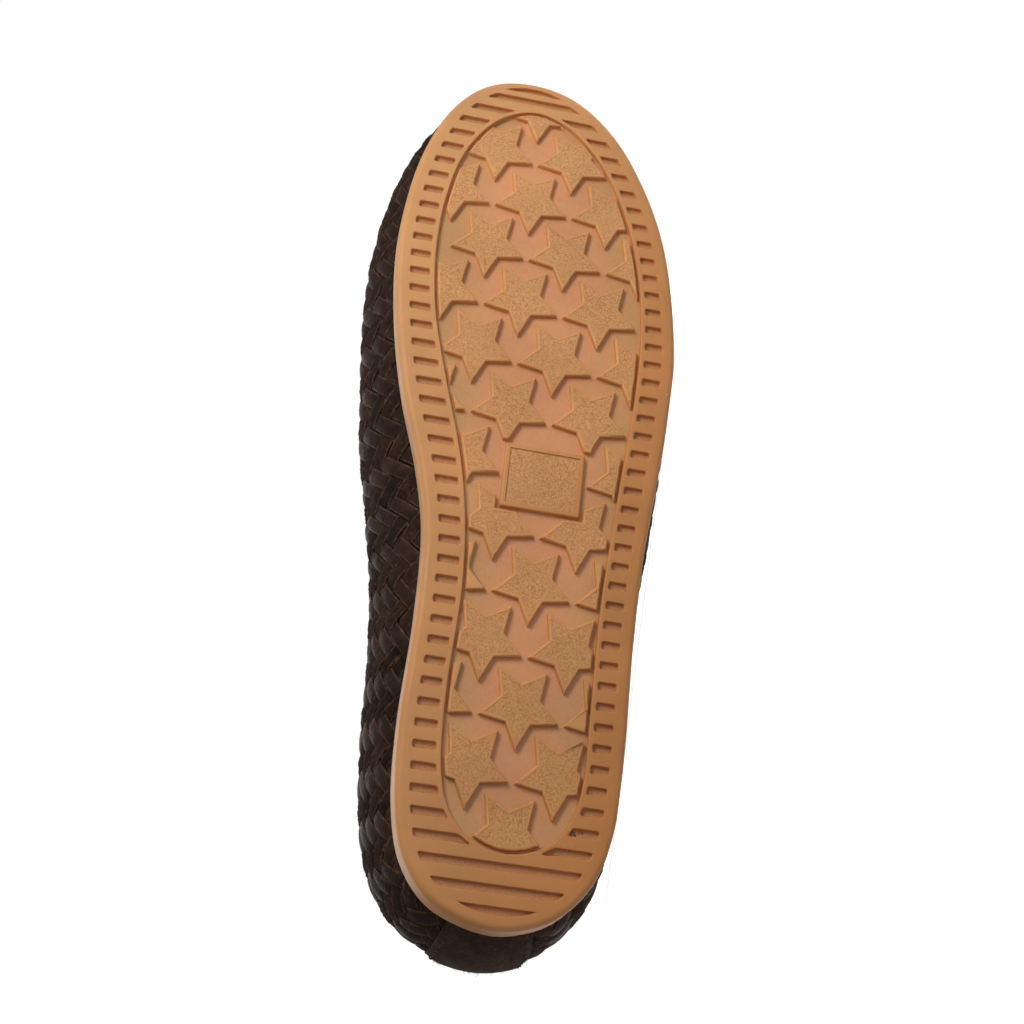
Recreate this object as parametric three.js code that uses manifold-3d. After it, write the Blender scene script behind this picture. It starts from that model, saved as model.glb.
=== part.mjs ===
// A boat shoe for the left foot with a woven leather upper and a star-tread rubber sole, lying on its
// outer side. Inside the shoe's own group u runs from heel to toe, v to the outer side of the foot from
// the middle column of stars, and w up from the ground, all in millimetres.
import * as THREE from 'three';
import { mergeVertices } from 'three/addons/utils/BufferGeometryUtils.js';
import Module from 'manifold-3d';

const wasm = await Module();
wasm.setup();

// Sole
const LENGTH = 256.5;
const SOLE_HEEL = 10.5;
const SOLE_FOREFOOT = 7.5;
const SPRING_START = 158;
const TOE_SPRING = 8.5;
const TREAD_DEPTH = 1.7;
const SLOT_DEPTH = 1.4;
const SLOT_WIDTH = 2.2;
const SLOT_OUTER_INSET = 3.9;
const SLOT_INNER_GAP = 1.3;
const END_SLOT_POINTS = 6;
const END_SLOTS = [
  { u: 5.9, v: 11, half: 9.8, deep: -2.2 },
  { u: 252, v: -2.3, half: 8.4, deep: 1.9 },
];
const STAR_PITCH = 22.88;
const ROW_PITCH = 17.03;
const ROW_ZERO = 211.8;
const STAR_RADIUS = 11.25;
const STAR_STRETCH = 1.08;
const STAR_WAIST = 0.5;
const STAR_CLEARANCE = 0.9;
const STAR_LEAST = 8;
const PLAQUE_CENTRE = [122.8, 11.3];
const PLAQUE_SIZE = [18.8, 22.2];
const PLAQUE_GAP = 1.1;
// Upper
const COLUMNS = 168;
const BAND_ROWS = 12;
const APRON_ROWS = 2;
const WALL = 2;
const STRIP_RISE = 0.45;
const FEATHER_INSET = 3.4;
const SEAM_RISE = 1.5;
const TOPLINE_RISE = 0.7;
const GAP = 0.35;
const HEEL_STRIP_HALF = 12.8;
const HEEL_STRIP_THICK = 1.4;
// Inside and fastening
const INSOLE_THICK = 3;
const INSOLE_INSET = 5.6;
const TONGUE_THICK = 2.4;
const EYELET_RADIUS = 3.6;
const EYELET_HOLE = 2;
const LACE_RADIUS = 1.4;

// Edge of the sole from heel to toe, v on the inner and on the outer side of the foot.
const SOLE_EDGE = [
  { u: 2.7, inner: -0.9, outer: 22.6 },
  { u: 7, inner: -8, outer: 29 },
  { u: 16, inner: -14.4, outer: 35.8 },
  { u: 30, inner: -18, outer: 39.6 },
  { u: 50, inner: -19.2, outer: 40.6 },
  { u: 80, inner: -18.4, outer: 40.6 },
  { u: 105, inner: -19.4, outer: 41.5 },
  { u: 122, inner: -23.1, outer: 43.1 },
  { u: 143, inner: -29.8, outer: 45 },
  { u: 165, inner: -34.6, outer: 45.9 },
  { u: 188, inner: -36.9, outer: 43.7 },
  { u: 208, inner: -35.8, outer: 39.6 },
  { u: 225, inner: -32.5, outer: 33.2 },
  { u: 240, inner: -26.7, outer: 24.9 },
  { u: 250, inner: -19.4, outer: 15.7 },
  { u: 254.8, inner: -12, outer: 7.5 },
];
const SOLE_ENDS = { heel: [0, 11.6], toe: [LENGTH, -2.5] };
// Edge of the sunken well that holds the stars.
const WELL_EDGE = [
  { u: 23, inner: 1, outer: 22.5 },
  { u: 30, inner: -4.6, outer: 27.8 },
  { u: 40, inner: -7.2, outer: 30 },
  { u: 60, inner: -8.1, outer: 30.3 },
  { u: 88, inner: -7.2, outer: 30.5 },
  { u: 108, inner: -8.6, outer: 31.7 },
  { u: 127, inner: -12.2, outer: 33.1 },
  { u: 150, inner: -19, outer: 35 },
  { u: 170, inner: -24.1, outer: 35.4 },
  { u: 190, inner: -26, outer: 33.7 },
  { u: 208, inner: -24.9, outer: 29.5 },
  { u: 224, inner: -21.3, outer: 23.1 },
  { u: 236, inner: -14.9, outer: 15 },
  { u: 242, inner: -8.5, outer: 8 },
];
const WELL_ENDS = { heel: [19.4, 11.5], toe: [244.7, -0.7] };
// Side of the sole from the ground up: inset from the edge and height, from the ground or from the top.
const SOLE_SIDE = [
  { inset: 3.2, above: 0 },
  { inset: 1.1, above: 0.6 },
  { inset: 0, above: 2.6 },
  { inset: 0, below: 2.2 },
  { inset: 1.7, below: 0 },
];
// Upper from the heel (at 0) to the toe (at 1) along either side: how far the wall stands out past the
// sole on the inner and outer side, how high, where the seam or topline runs, and the edge of the opening.
const UPPER = [
  { at: 0, inner: 4, outer: 4, bulge: 21, inset: 1.6, seam: 41, topU: 5, topHalf: 0, top: 58.5 },
  { at: 0.07, inner: 4.2, outer: 3.9, bulge: 21.5, inset: 1.2, seam: 40.5, topU: 10, topHalf: 14.5, top: 58 },
  { at: 0.14, inner: 5, outer: 3.8, bulge: 22.5, inset: 0.6, seam: 38.5, topU: 24, topHalf: 24, top: 56 },
  { at: 0.23, inner: 6.4, outer: 3.9, bulge: 23, inset: 0, seam: 35.5, topU: 49, topHalf: 28, top: 52.5 },
  { at: 0.34, inner: 9, outer: 4.6, bulge: 24, inset: -1.5, seam: 34, topU: 79, topHalf: 29, top: 50 },
  { at: 0.44, inner: 11, outer: 5.2, bulge: 26, inset: 1.5, seam: 36.5, topU: 104, topHalf: 26.5, top: 53 },
  { at: 0.52, inner: 9.4, outer: 4.5, bulge: 27, inset: 8, seam: 43, topU: 122, topHalf: 18.5, top: 59.5 },
  { at: 0.6, inner: 6.4, outer: 3.8, bulge: 27, inset: 14, seam: 45.5, topU: 140, topHalf: 12, top: 63 },
  { at: 0.7, inner: 5, outer: 3.6, bulge: 26, inset: 16, seam: 42.5, topU: 156, topHalf: 11, top: 61.5 },
  { at: 0.82, inner: 4.6, outer: 4, bulge: 21, inset: 15, seam: 35, topU: 167, topHalf: 8.8, top: 58.8 },
  { at: 0.92, inner: 4.2, outer: 4.1, bulge: 16.5, inset: 14, seam: 28.5, topU: 171.5, topHalf: 4.9, top: 57.2 },
  { at: 1, inner: 3.6, outer: 3.6, bulge: 14.5, inset: 13.5, seam: 26, topU: 173, topHalf: 0, top: 56.6 },
];
// Eyelets: place from heel to toe along the wall, and distance below the edge of the opening.
const EYELETS = [
  { name: 'lower', at: 0.66, below: 6.5 },
  { name: 'upper', at: 0.57, below: 7 },
];
// Tongue under the throat from the front: place along the wall, and how far it reaches under each edge.
const TONGUE_TUCK = [
  { at: 0.93, under: 11 },
  { at: 0.86, under: 11 },
  { at: 0.79, under: 11 },
  { at: 0.72, under: 10 },
  { at: 0.66, under: 8 },
  { at: 0.6, under: 5 },
  { at: 0.55, under: 2 },
];
// Free end of the tongue behind the throat: place, half width and height of its middle and its sides.
const TONGUE_END = [
  { u: 117, half: 15.5, middle: 66, side: 61 },
  { u: 106, half: 17.5, middle: 69.5, side: 64 },
  { u: 98, half: 16, middle: 71.5, side: 67 },
  { u: 94, half: 9, middle: 72.2, side: 70.6 },
];

const smooth = (a, b, x) => THREE.MathUtils.smoothstep(x, a, b);
const lift = (u) => TOE_SPRING * (Math.max(0, u - SPRING_START) / (LENGTH - SPRING_START)) ** 2;
const soleTop = (u) => lift(u) + SOLE_HEEL + (SOLE_FOREFOOT - SOLE_HEEL) * smooth(55, 165, u);

// Points of a closed edge, even along each side, from the heel tip round the inner side to the toe tip
// and back round the outer side, with the outward direction at each.
function edgeLoop(rows, ends, count) {
  const control = [ends.heel];
  rows.forEach((row) => control.push([row.u, row.inner]));
  control.push(ends.toe);
  [...rows].reverse().forEach((row) => control.push([row.u, row.outer]));
  const curve = new THREE.CatmullRomCurve3(
    control.map(([u, v]) => new THREE.Vector3(u, v, 0)),
    true,
    'centripetal',
  );
  const toeAt = (rows.length + 1) / control.length;
  const sides = [
    [0, toeAt],
    [toeAt, 1],
  ].map(([from, to]) => {
    const fine = [];
    for (let k = 0; k <= 600; k++) fine.push(curve.getPoint((from + ((to - from) * k) / 600) % 1));
    return fine;
  });
  const half = count / 2;
  const points = [...spread(sides[0], half).slice(0, -1), ...spread(sides[1], half).slice(0, -1)];
  return points.map((p, i) => {
    const along = points[(i + 1) % count].clone().sub(points[(i + count - 1) % count]).normalize();
    return { u: p.x, v: p.y, nu: along.y, nv: -along.x };
  });
}

// A polyline resampled into equal steps.
function spread(fine, steps) {
  const reach = [0];
  for (let k = 1; k < fine.length; k++) reach.push(reach[k - 1] + fine[k].distanceTo(fine[k - 1]));
  const out = [];
  let k = 0;
  for (let s = 0; s <= steps; s++) {
    const want = (reach[reach.length - 1] * s) / steps;
    while (k < fine.length - 2 && reach[k + 1] < want) k++;
    const part = (want - reach[k]) / Math.max(1e-9, reach[k + 1] - reach[k]);
    out.push(fine[k].clone().lerp(fine[k + 1], Math.min(1, Math.max(0, part))));
  }
  return out;
}

// A closed geometry from points and triangles, turned to face out.
function closed(points, faces) {
  const geometry = new THREE.BufferGeometry();
  geometry.setAttribute('position', new THREE.Float32BufferAttribute(points.flatMap((p) => [p.x, p.y, p.z]), 3));
  let volume = 0;
  faces.forEach(([a, b, c]) => {
    volume += points[a].dot(points[b].clone().cross(points[c]));
  });
  const turned = volume < 0 ? faces.map(([a, b, c]) => [a, c, b]) : faces;
  geometry.setIndex(turned.flat());
  return geometry;
}

// Rings stacked into a solid, each ring paired across the shoe to close the ends.
function stack(rings) {
  const count = rings[0].length;
  const points = rings.flat();
  const faces = [];
  for (let r = 0; r < rings.length - 1; r++) {
    for (let i = 0; i < count; i++) {
      const a = r * count + i;
      const b = r * count + ((i + 1) % count);
      faces.push([a, b, b + count], [a, b + count, a + count]);
    }
  }
  const cap = (base, back) => {
    for (let i = 0; i < count / 2; i++) {
      const a = base + i;
      const b = base + i + 1;
      const c = base + ((count - i - 1) % count);
      const d = base + ((count - i) % count);
      const quad = [[a, b, c], [a, c, d]].filter((t) => new Set(t).size === 3);
      quad.forEach((t) => faces.push(back ? t.slice().reverse() : t));
    }
  };
  cap(0, true);
  cap((rings.length - 1) * count, false);
  return closed(points, faces);
}

const solidOf = (geometry) => {
  const bare = new THREE.BufferGeometry().setAttribute('position', geometry.getAttribute('position').clone());
  if (geometry.index) bare.setIndex(geometry.index.clone());
  const merged = mergeVertices(bare, 1e-4);
  return new wasm.Manifold(
    new wasm.Mesh({
      numProp: 3,
      vertProperties: new Float32Array(merged.getAttribute('position').array),
      triVerts: new Uint32Array(merged.index.array),
    }),
  );
};

const geometryOf = (solid) => {
  const mesh = solid.getMesh();
  const points = new Float32Array(mesh.numVert * 3);
  for (let i = 0; i < mesh.numVert; i++) {
    for (let k = 0; k < 3; k++) points[i * 3 + k] = mesh.vertProperties[i * mesh.numProp + k];
  }
  const geometry = new THREE.BufferGeometry();
  geometry.setAttribute('position', new THREE.BufferAttribute(points, 3));
  geometry.setIndex(new THREE.BufferAttribute(new Uint32Array(mesh.triVerts), 1));
  return geometry;
};

// Upright prisms on flat outlines, their two ends following given heights along the sole.
function prisms(outlines, low, high) {
  const points = [];
  const faces = [];
  outlines.forEach((outline) => {
    const base = points.length;
    const count = outline.length;
    const flat = outline.map(([u, v]) => new THREE.Vector2(u, v));
    if (THREE.ShapeUtils.isClockWise(flat)) flat.reverse();
    flat.forEach((p) => points.push(new THREE.Vector3(p.x, p.y, low(p.x))));
    flat.forEach((p) => points.push(new THREE.Vector3(p.x, p.y, high(p.x))));
    THREE.ShapeUtils.triangulateShape(flat, []).forEach(([a, b, c]) => {
      faces.push([base + a, base + c, base + b]);
      faces.push([base + count + a, base + count + b, base + count + c]);
    });
    for (let i = 0; i < count; i++) {
      const j = (i + 1) % count;
      faces.push([base + i, base + j, base + count + j], [base + i, base + count + j, base + count + i]);
    }
  });
  return solidOf(closed(points, faces));
}

// Where a loop crosses a line across the shoe: v on the inner and on the outer side, or nothing.
function across(loop, u) {
  const hits = [];
  loop.forEach((p, i) => {
    const q = loop[(i + 1) % loop.length];
    if ((p.u - u) * (q.u - u) <= 0 && p.u !== q.u) hits.push(p.v + ((q.v - p.v) * (u - p.u)) / (q.u - p.u));
  });
  return hits.length < 2 ? null : [Math.min(...hits), Math.max(...hits)];
}

const offsetLoop = (loop, outset) => loop.map((p) => ({ u: p.u + p.nu * outset, v: p.v + p.nv * outset }));

// Outsole: body, sunken well, slotted rim, stars and a plain plaque in one moulding.
function outsole() {
  const edge = edgeLoop(SOLE_EDGE, SOLE_ENDS, 76);
  const rings = SOLE_SIDE.map((step) =>
    offsetLoop(edge, -step.inset).map(
      ({ u, v }) => new THREE.Vector3(u, v, 'above' in step ? lift(u) + step.above : soleTop(u) - step.below),
    ),
  );
  const body = solidOf(stack(rings));
  const well = edgeLoop(WELL_EDGE, WELL_ENDS, 56);
  const pocket = solidOf(
    stack([
      well.map(({ u, v }) => new THREE.Vector3(u, v, lift(u) - 3)),
      well.map(({ u, v }) => new THREE.Vector3(u, v, lift(u) + TREAD_DEPTH)),
    ]),
  );
  const outer = offsetLoop(edgeLoop(SOLE_EDGE, SOLE_ENDS, 240), -SLOT_OUTER_INSET);
  const inner = offsetLoop(edgeLoop(WELL_EDGE, WELL_ENDS, 240), SLOT_INNER_GAP);
  const slots = [];
  const step = ROW_PITCH / 3;
  for (let k = -40; k < 10; k++) {
    const lines = [-0.5, 0.5].map((side) => ROW_ZERO + (k + 0.5) * step + side * SLOT_WIDTH);
    const rim = lines.map((u) => across(outer, u));
    const hole = lines.map((u) => across(inner, u));
    if (!rim[0] || !rim[1]) continue;
    if (!hole[0] && !hole[1]) {
      slots.push([[lines[0], rim[0][0]], [lines[0], rim[0][1]], [lines[1], rim[1][1]], [lines[1], rim[1][0]]]);
    } else if (hole[0] && hole[1]) {
      [0, 1].forEach((s) => {
        slots.push([[lines[0], rim[0][s]], [lines[0], hole[0][s]], [lines[1], hole[1][s]], [lines[1], rim[1][s]]]);
      });
    }
  }
  END_SLOTS.forEach(({ u, v, half, deep }) => {
    const lens = [];
    for (let k = 0; k <= END_SLOT_POINTS; k++) {
      const share = (2 * k) / END_SLOT_POINTS - 1;
      lens.push([u + deep * (1 - share * share), v + half * share]);
    }
    slots.push(lens);
  });
  const cuts = prisms(slots, (u) => lift(u) - 3, (u) => lift(u) + SLOT_DEPTH);
  const [pu, pv] = PLAQUE_CENTRE;
  const stars = [];
  for (let row = -2; row <= 11; row++) {
    for (let column = -4; column <= 4; column++) {
      if ((column - row) % 2 !== 0) continue;
      const centre = [ROW_ZERO - row * ROW_PITCH, (column * STAR_PITCH) / 2];
      if (Math.hypot(centre[0] - pu, centre[1] - pv) < STAR_RADIUS / 2) continue;
      const tips = [];
      for (let k = 0; k < 10; k++) {
        const reach = STAR_RADIUS * (k % 2 ? STAR_WAIST : 1);
        const turn = Math.PI + (k * Math.PI) / 5;
        tips.push([centre[0] + reach * STAR_STRETCH * Math.cos(turn), centre[1] + reach * Math.sin(turn)]);
      }
      stars.push(tips);
    }
  }
  const plate = (grow) => {
    const a = PLAQUE_SIZE[0] / 2 + grow;
    const b = PLAQUE_SIZE[1] / 2 + grow;
    return [[pu - a, pv - b], [pu + a, pv - b], [pu + a, pv + b], [pu - a, pv + b]];
  };
  const floor = (u) => lift(u) + TREAD_DEPTH + 0.5;
  const inside = offsetLoop(well, -STAR_CLEARANCE);
  const ring = (low) => inside.map(({ u, v }) => new THREE.Vector3(u, v, lift(u) + low));
  const clip = solidOf(stack([ring(-4), ring(6)]));
  const whole = prisms(stars, lift, floor)
    .intersect(clip)
    .subtract(prisms([plate(PLAQUE_GAP)], () => -4, () => 20));
  const tread = whole.decompose().filter((star) => star.volume() > STAR_LEAST);
  tread.push(prisms([plate(0)], lift, floor));
  return geometryOf(wasm.Manifold.union([body.subtract(pocket).subtract(cuts), ...tread]));
}

// One value of the upper's table at any place from heel to toe, even about both ends.
function upperAt(key, at) {
  const odd = key === 'topHalf' ? -1 : 1;
  const rows = [
    { at: -UPPER[1].at, value: UPPER[1][key] * odd },
    ...UPPER.map((row) => ({ at: row.at, value: row[key] })),
    { at: 2 - UPPER[UPPER.length - 2].at, value: UPPER[UPPER.length - 2][key] * odd },
  ];
  let k = 1;
  while (k < rows.length - 3 && rows[k + 1].at < at) k++;
  const [a, b, c, d] = rows.slice(k - 1, k + 3);
  const span = c.at - b.at;
  const t = (at - b.at) / span;
  const slopeB = ((c.value - a.value) / (c.at - a.at)) * span;
  const slopeC = ((d.value - b.value) / (d.at - b.at)) * span;
  return (
    b.value * (2 * t ** 3 - 3 * t ** 2 + 1) +
    slopeB * (t ** 3 - 2 * t ** 2 + t) +
    c.value * (3 * t ** 2 - 2 * t ** 3) +
    slopeC * (t ** 3 - t ** 2)
  );
}

const FINE = 4;
const soleLoop = edgeLoop(SOLE_EDGE, SOLE_ENDS, COLUMNS * FINE);
const middleOf = (u) => {
  const sides = across(soleLoop, u);
  return (sides[0] + sides[1]) / 2;
};

// One line of the upper's outside, from the sole up over the seam to the edge of the opening, at a
// column that may lie between two.
const lines = new Map();
function lineAt(column) {
  const slot = ((Math.round(column * FINE) % (COLUMNS * FINE)) + COLUMNS * FINE) % (COLUMNS * FINE);
  if (lines.has(slot)) return lines.get(slot);
  const place = slot / FINE;
  const onInner = place <= COLUMNS / 2;
  const at = (onInner ? place : COLUMNS - place) / (COLUMNS / 2);
  const p = soleLoop[slot];
  const stand = upperAt(onInner ? 'inner' : 'outer', at);
  const bulge = upperAt('bulge', at);
  const base = soleTop(p.u);
  const off = (outset, height) => new THREE.Vector3(p.u + p.nu * outset, p.v + p.nv * outset, base + height);
  const topU = upperAt('topU', at);
  const topV = middleOf(topU) + upperAt('topHalf', at) * (onInner ? -1 : 1);
  const seam = off(-upperAt('inset', at), upperAt('seam', at));
  const curve = new THREE.CatmullRomCurve3(
    [
      off(-FEATHER_INSET, GAP),
      off(-FEATHER_INSET + (stand + FEATHER_INSET) * 0.66, GAP + bulge * 0.3),
      off(stand, bulge),
      seam,
      new THREE.Vector3(topU, topV, upperAt('top', at)),
    ],
    false,
    'centripetal',
  );
  const low = [];
  const high = [];
  for (let k = 0; k <= 60; k++) low.push(curve.getPoint((0.75 * k) / 60));
  for (let k = 0; k <= 30; k++) high.push(curve.getPoint(0.75 + (0.25 * k) / 30));
  const line = { low: spread(low, 52), high: spread(high, 24) };
  lines.set(slot, line);
  return line;
}

// A point of the outside: row 0 at the sole, 1 at the seam or topline, 2 at the edge of the opening.
function skin(column, row) {
  const line = lineAt(column);
  const pick = (list, t) => {
    const x = Math.min(list.length - 1.0001, Math.max(0, t * (list.length - 1)));
    const k = Math.floor(x);
    return list[k].clone().lerp(list[k + 1], x - k);
  };
  return row <= 1 ? pick(line.low, row) : pick(line.high, row - 1);
}

function outward(column, row) {
  const d = 0.04;
  const along = skin(column + 1, row).sub(skin(column - 1, row));
  const up = skin(column, Math.min(2, row + d)).sub(skin(column, Math.max(0, row - d)));
  return up.cross(along).normalize().multiplyScalar(-1);
}

const skinOut = (column, row, outset) => skin(column, row).add(outward(column, row).multiplyScalar(outset));
const fromHeel = (column) => Math.min(column, COLUMNS - column);
const placeOf = (column) => fromHeel(column) / (COLUMNS / 2);
const columnMm = 3.77;

// Height of the outside over its smooth form: raised strips, the raised seam, and the topline's step.
function rise(i, j) {
  const at = placeOf(i);
  if (j === BAND_ROWS) return at > 0.66 ? SEAM_RISE : TOPLINE_RISE + (SEAM_RISE - TOPLINE_RISE) * smooth(0.55, 0.66, at);
  if (j > BAND_ROWS) return at > 0.78 ? 0 : TOPLINE_RISE * (1 - smooth(0.7, 0.78, at));
  if (j === 0 || fromHeel(i) * columnMm < HEEL_STRIP_HALF + 2) return 0;
  return (i + j) % 2 ? STRIP_RISE : -STRIP_RISE;
}

// Upper: one hollow wall, open underneath and at the collar and throat, its outside a raised two-over,
// two-under weave up to the seam.
function upper() {
  const rows = BAND_ROWS + APRON_ROWS;
  const rowAt = (j) => (j <= BAND_ROWS ? j / BAND_ROWS : 1 + (j - BAND_ROWS) / APRON_ROWS);
  const points = [];
  const faces = [];
  for (let j = 0; j <= rows; j++) {
    for (let i = 0; i < COLUMNS; i++) points.push(skinOut(i, rowAt(j), rise(i, j)));
  }
  const outer = (i, j) => j * COLUMNS + (i % COLUMNS);
  for (let j = 0; j < rows; j++) {
    for (let i = 0; i < COLUMNS; i++) {
      const rising = (i + j) % 2 !== 0;
      const sameStrip = rising ? i % 4 === 0 : i % 4 === 2;
      const [a, b, c, d] = [outer(i, j), outer(i + 1, j), outer(i + 1, j + 1), outer(i, j + 1)];
      if (rising === sameStrip) faces.push([a, b, c], [a, c, d]);
      else faces.push([a, b, d], [b, c, d]);
    }
  }
  const innerRows = [0, 0.4, 0.75, 1.2, 2];
  const half = COLUMNS / 2;
  const start = points.length;
  innerRows.forEach((row) => {
    for (let i = 0; i < half; i++) points.push(skinOut(i * 2, row, -WALL));
  });
  const inner = (i, j) => start + j * half + (i % half);
  for (let j = 0; j < innerRows.length - 1; j++) {
    for (let i = 0; i < half; i++) {
      const [a, b, c, d] = [inner(i, j), inner(i + 1, j), inner(i + 1, j + 1), inner(i, j + 1)];
      faces.push([a, c, b], [a, d, c]);
    }
  }
  for (let i = 0; i < half; i++) {
    const low = [outer(i * 2, 0), outer(i * 2 + 1, 0), outer(i * 2 + 2, 0), inner(i, 0), inner(i + 1, 0)];
    const top = [outer(i * 2, rows), outer(i * 2 + 1, rows), outer(i * 2 + 2, rows)];
    const end = innerRows.length - 1;
    faces.push([low[0], low[3], low[1]], [low[1], low[3], low[4]], [low[1], low[4], low[2]]);
    faces.push([top[0], top[1], inner(i, end)], [top[1], inner(i + 1, end), inner(i, end)]);
    faces.push([top[1], top[2], inner(i + 1, end)]);
  }
  let solid = solidOf(closed(points, faces));
  eyelets.forEach(({ place }) => {
    const bore = new THREE.CylinderGeometry(EYELET_HOLE, EYELET_HOLE, 9, 10).rotateX(Math.PI / 2);
    solid = solid.subtract(solidOf(bore.applyMatrix4(place)));
  });
  return geometryOf(solid);
}

// A thin piece laid over the wall: a grid of columns and rows between two heights.
function overlay(columns, rows, low, high) {
  const points = [];
  const faces = [];
  const wide = columns.length;
  const tall = rows.length;
  [low, high].forEach((outset) => {
    rows.forEach((row) => columns.forEach((column) => points.push(skinOut(column, row, outset))));
  });
  return gridSolid(points, faces, wide, tall);
}

// Two grids of points, one over the other, closed round their edges.
function gridSolid(points, faces, wide, tall) {
  const at = (layer, i, j) => (layer * tall + j) * wide + i;
  for (let j = 0; j < tall - 1; j++) {
    for (let i = 0; i < wide - 1; i++) {
      const under = [at(0, i, j), at(0, i + 1, j), at(0, i + 1, j + 1), at(0, i, j + 1)];
      const over = [at(1, i, j), at(1, i + 1, j), at(1, i + 1, j + 1), at(1, i, j + 1)];
      faces.push([under[0], under[2], under[1]], [under[0], under[3], under[2]]);
      faces.push([over[0], over[1], over[2]], [over[0], over[2], over[3]]);
    }
  }
  const wall = (a, b, c, d) => faces.push([a, b, c], [a, c, d]);
  for (let i = 0; i < wide - 1; i++) {
    wall(at(0, i, 0), at(0, i + 1, 0), at(1, i + 1, 0), at(1, i, 0));
    wall(at(0, i + 1, tall - 1), at(0, i, tall - 1), at(1, i, tall - 1), at(1, i + 1, tall - 1));
  }
  for (let j = 0; j < tall - 1; j++) {
    wall(at(0, 0, j + 1), at(0, 0, j), at(1, 0, j), at(1, 0, j + 1));
    wall(at(0, wide - 1, j), at(0, wide - 1, j + 1), at(1, wide - 1, j + 1), at(1, wide - 1, j));
  }
  return closed(points, faces);
}

function heelStrip() {
  const reach = HEEL_STRIP_HALF / columnMm;
  const columns = [-1, -0.67, -0.33, 0, 0.33, 0.67, 1].map((k) => k * reach);
  const rows = [0.07, 0.2, 0.35, 0.5, 0.65, 0.8, 0.93];
  return overlay(columns, rows, GAP + 0.1, GAP + 0.1 + HEEL_STRIP_THICK);
}

function insole() {
  const loop = offsetLoop(edgeLoop(SOLE_EDGE, SOLE_ENDS, 60), -INSOLE_INSET);
  const ring = (height) => loop.map(({ u, v }) => new THREE.Vector3(u, v, soleTop(u) + height));
  return stack([ring(GAP), ring(GAP + INSOLE_THICK)]);
}

// Tongue: tucked under the two edges of the throat and under the apron, with a free round end behind.
function tongue() {
  const drop = WALL + GAP + 0.5;
  const stations = [];
  TONGUE_TUCK.forEach(({ at, under }) => {
    const sides = [at, 2 - at].map((place) => (place * COLUMNS) / 2);
    const side = (column) => {
      const span = skin(column, 2).distanceTo(skin(column, 1));
      return [1, 0.5, 0].map((part) => skinOut(column, 2 - (part * under) / span, -drop - 0.4 * part));
    };
    const left = side(sides[0]);
    const right = side(sides[1]).reverse();
    const middle = left[2].clone().add(right[0]).multiplyScalar(0.5);
    middle.z += 0.05 * left[2].distanceTo(right[0]);
    stations.push([...left, middle, ...right]);
  });
  TONGUE_END.forEach((row) => {
    const v = middleOf(row.u);
    const places = [-1, -0.67, -0.33, 0, 0.33, 0.67, 1];
    stations.push(
      places.map((k) => new THREE.Vector3(row.u, v + row.half * k, row.middle - (row.middle - row.side) * k * k)),
    );
  });
  const wide = 7;
  const tall = stations.length;
  const upper = stations.flat();
  const normal = (i, j) => {
    const get = (x, y) => stations[Math.min(tall - 1, Math.max(0, y))][Math.min(wide - 1, Math.max(0, x))];
    const n = get(i + 1, j).clone().sub(get(i - 1, j)).cross(get(i, j + 1).clone().sub(get(i, j - 1))).normalize();
    return n.z < 0 ? n.negate() : n;
  };
  const lower = stations.flatMap((row, j) => row.map((p, i) => p.clone().addScaledVector(normal(i, j), -TONGUE_THICK)));
  return gridSolid([...lower, ...upper], [], wide, tall);
}

// Eyelets: a ring on the wall at each place in the table, on both sides of the throat.
const eyelets = [];
EYELETS.forEach(({ name, at, below }) => {
  [
    ['inner', (at * COLUMNS) / 2],
    ['outer', COLUMNS - (at * COLUMNS) / 2],
  ].forEach(([side, column]) => {
    const span = skin(column, 2).distanceTo(skin(column, 1));
    const row = 2 - below / span;
    const normal = outward(column, row);
    const seat = skin(column, row);
    const turn = new THREE.Quaternion().setFromUnitVectors(new THREE.Vector3(0, 0, 1), normal);
    const place = new THREE.Matrix4().compose(seat, turn, new THREE.Vector3(1, 1, 1));
    eyelets.push({ name: `eyelet_${name}_${side}`, level: name, column, row, place });
  });
});

function eyeletRing() {
  const seatRise = TOPLINE_RISE + GAP + 0.1;
  const profile = [
    [EYELET_HOLE, seatRise],
    [EYELET_RADIUS, seatRise],
    [EYELET_RADIUS - 0.3, seatRise + 0.7],
    [EYELET_HOLE + 0.5, seatRise + 1],
    [EYELET_HOLE, seatRise + 0.6],
    [EYELET_HOLE, seatRise],
  ].map(([r, h]) => new THREE.Vector2(r, h));
  return new THREE.LatheGeometry(profile, 10).rotateX(Math.PI / 2);
}

// Lace: one bar over the throat between the two eyelets of a pair.
function laceBar(level) {
  const [a, b] = eyelets.filter((e) => e.level === level);
  const clear = TOPLINE_RISE + GAP + 1.1 + GAP + LACE_RADIUS;
  const over = (e, row) => skinOut(e.column, row, clear);
  const middle = over(a, 2).lerp(over(b, 2), 0.5);
  middle.z += 0.4;
  const path = new THREE.CatmullRomCurve3([
    over(a, a.row - 0.02),
    over(a, (a.row + 2) / 2),
    over(a, 1.98),
    middle,
    over(b, 1.98),
    over(b, (b.row + 2) / 2),
    over(b, b.row - 0.02),
  ]);
  const section = new THREE.Shape();
  for (let k = 0; k < 8; k++) {
    const turn = (k * Math.PI) / 4 + Math.PI / 8;
    const corner = [LACE_RADIUS * Math.cos(turn), LACE_RADIUS * Math.sin(turn)];
    if (k) section.lineTo(...corner);
    else section.moveTo(...corner);
  }
  section.closePath();
  return new THREE.ExtrudeGeometry(section, { steps: 9, extrudePath: path, curveSegments: 1 });
}

const material = (color, roughness, metalness = 0) => new THREE.MeshStandardMaterial({ color, roughness, metalness });
const GUM = material('#c39260', 0.6);
const WOVEN = material('#3a2c26', 0.5);
const SUEDE = material('#3b2a22', 0.9);
const LINING = material('#6b4c36', 0.8);
const LACE = material('#33241d', 0.65);
const METAL = material('#8a7350', 0.35, 1);

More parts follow.
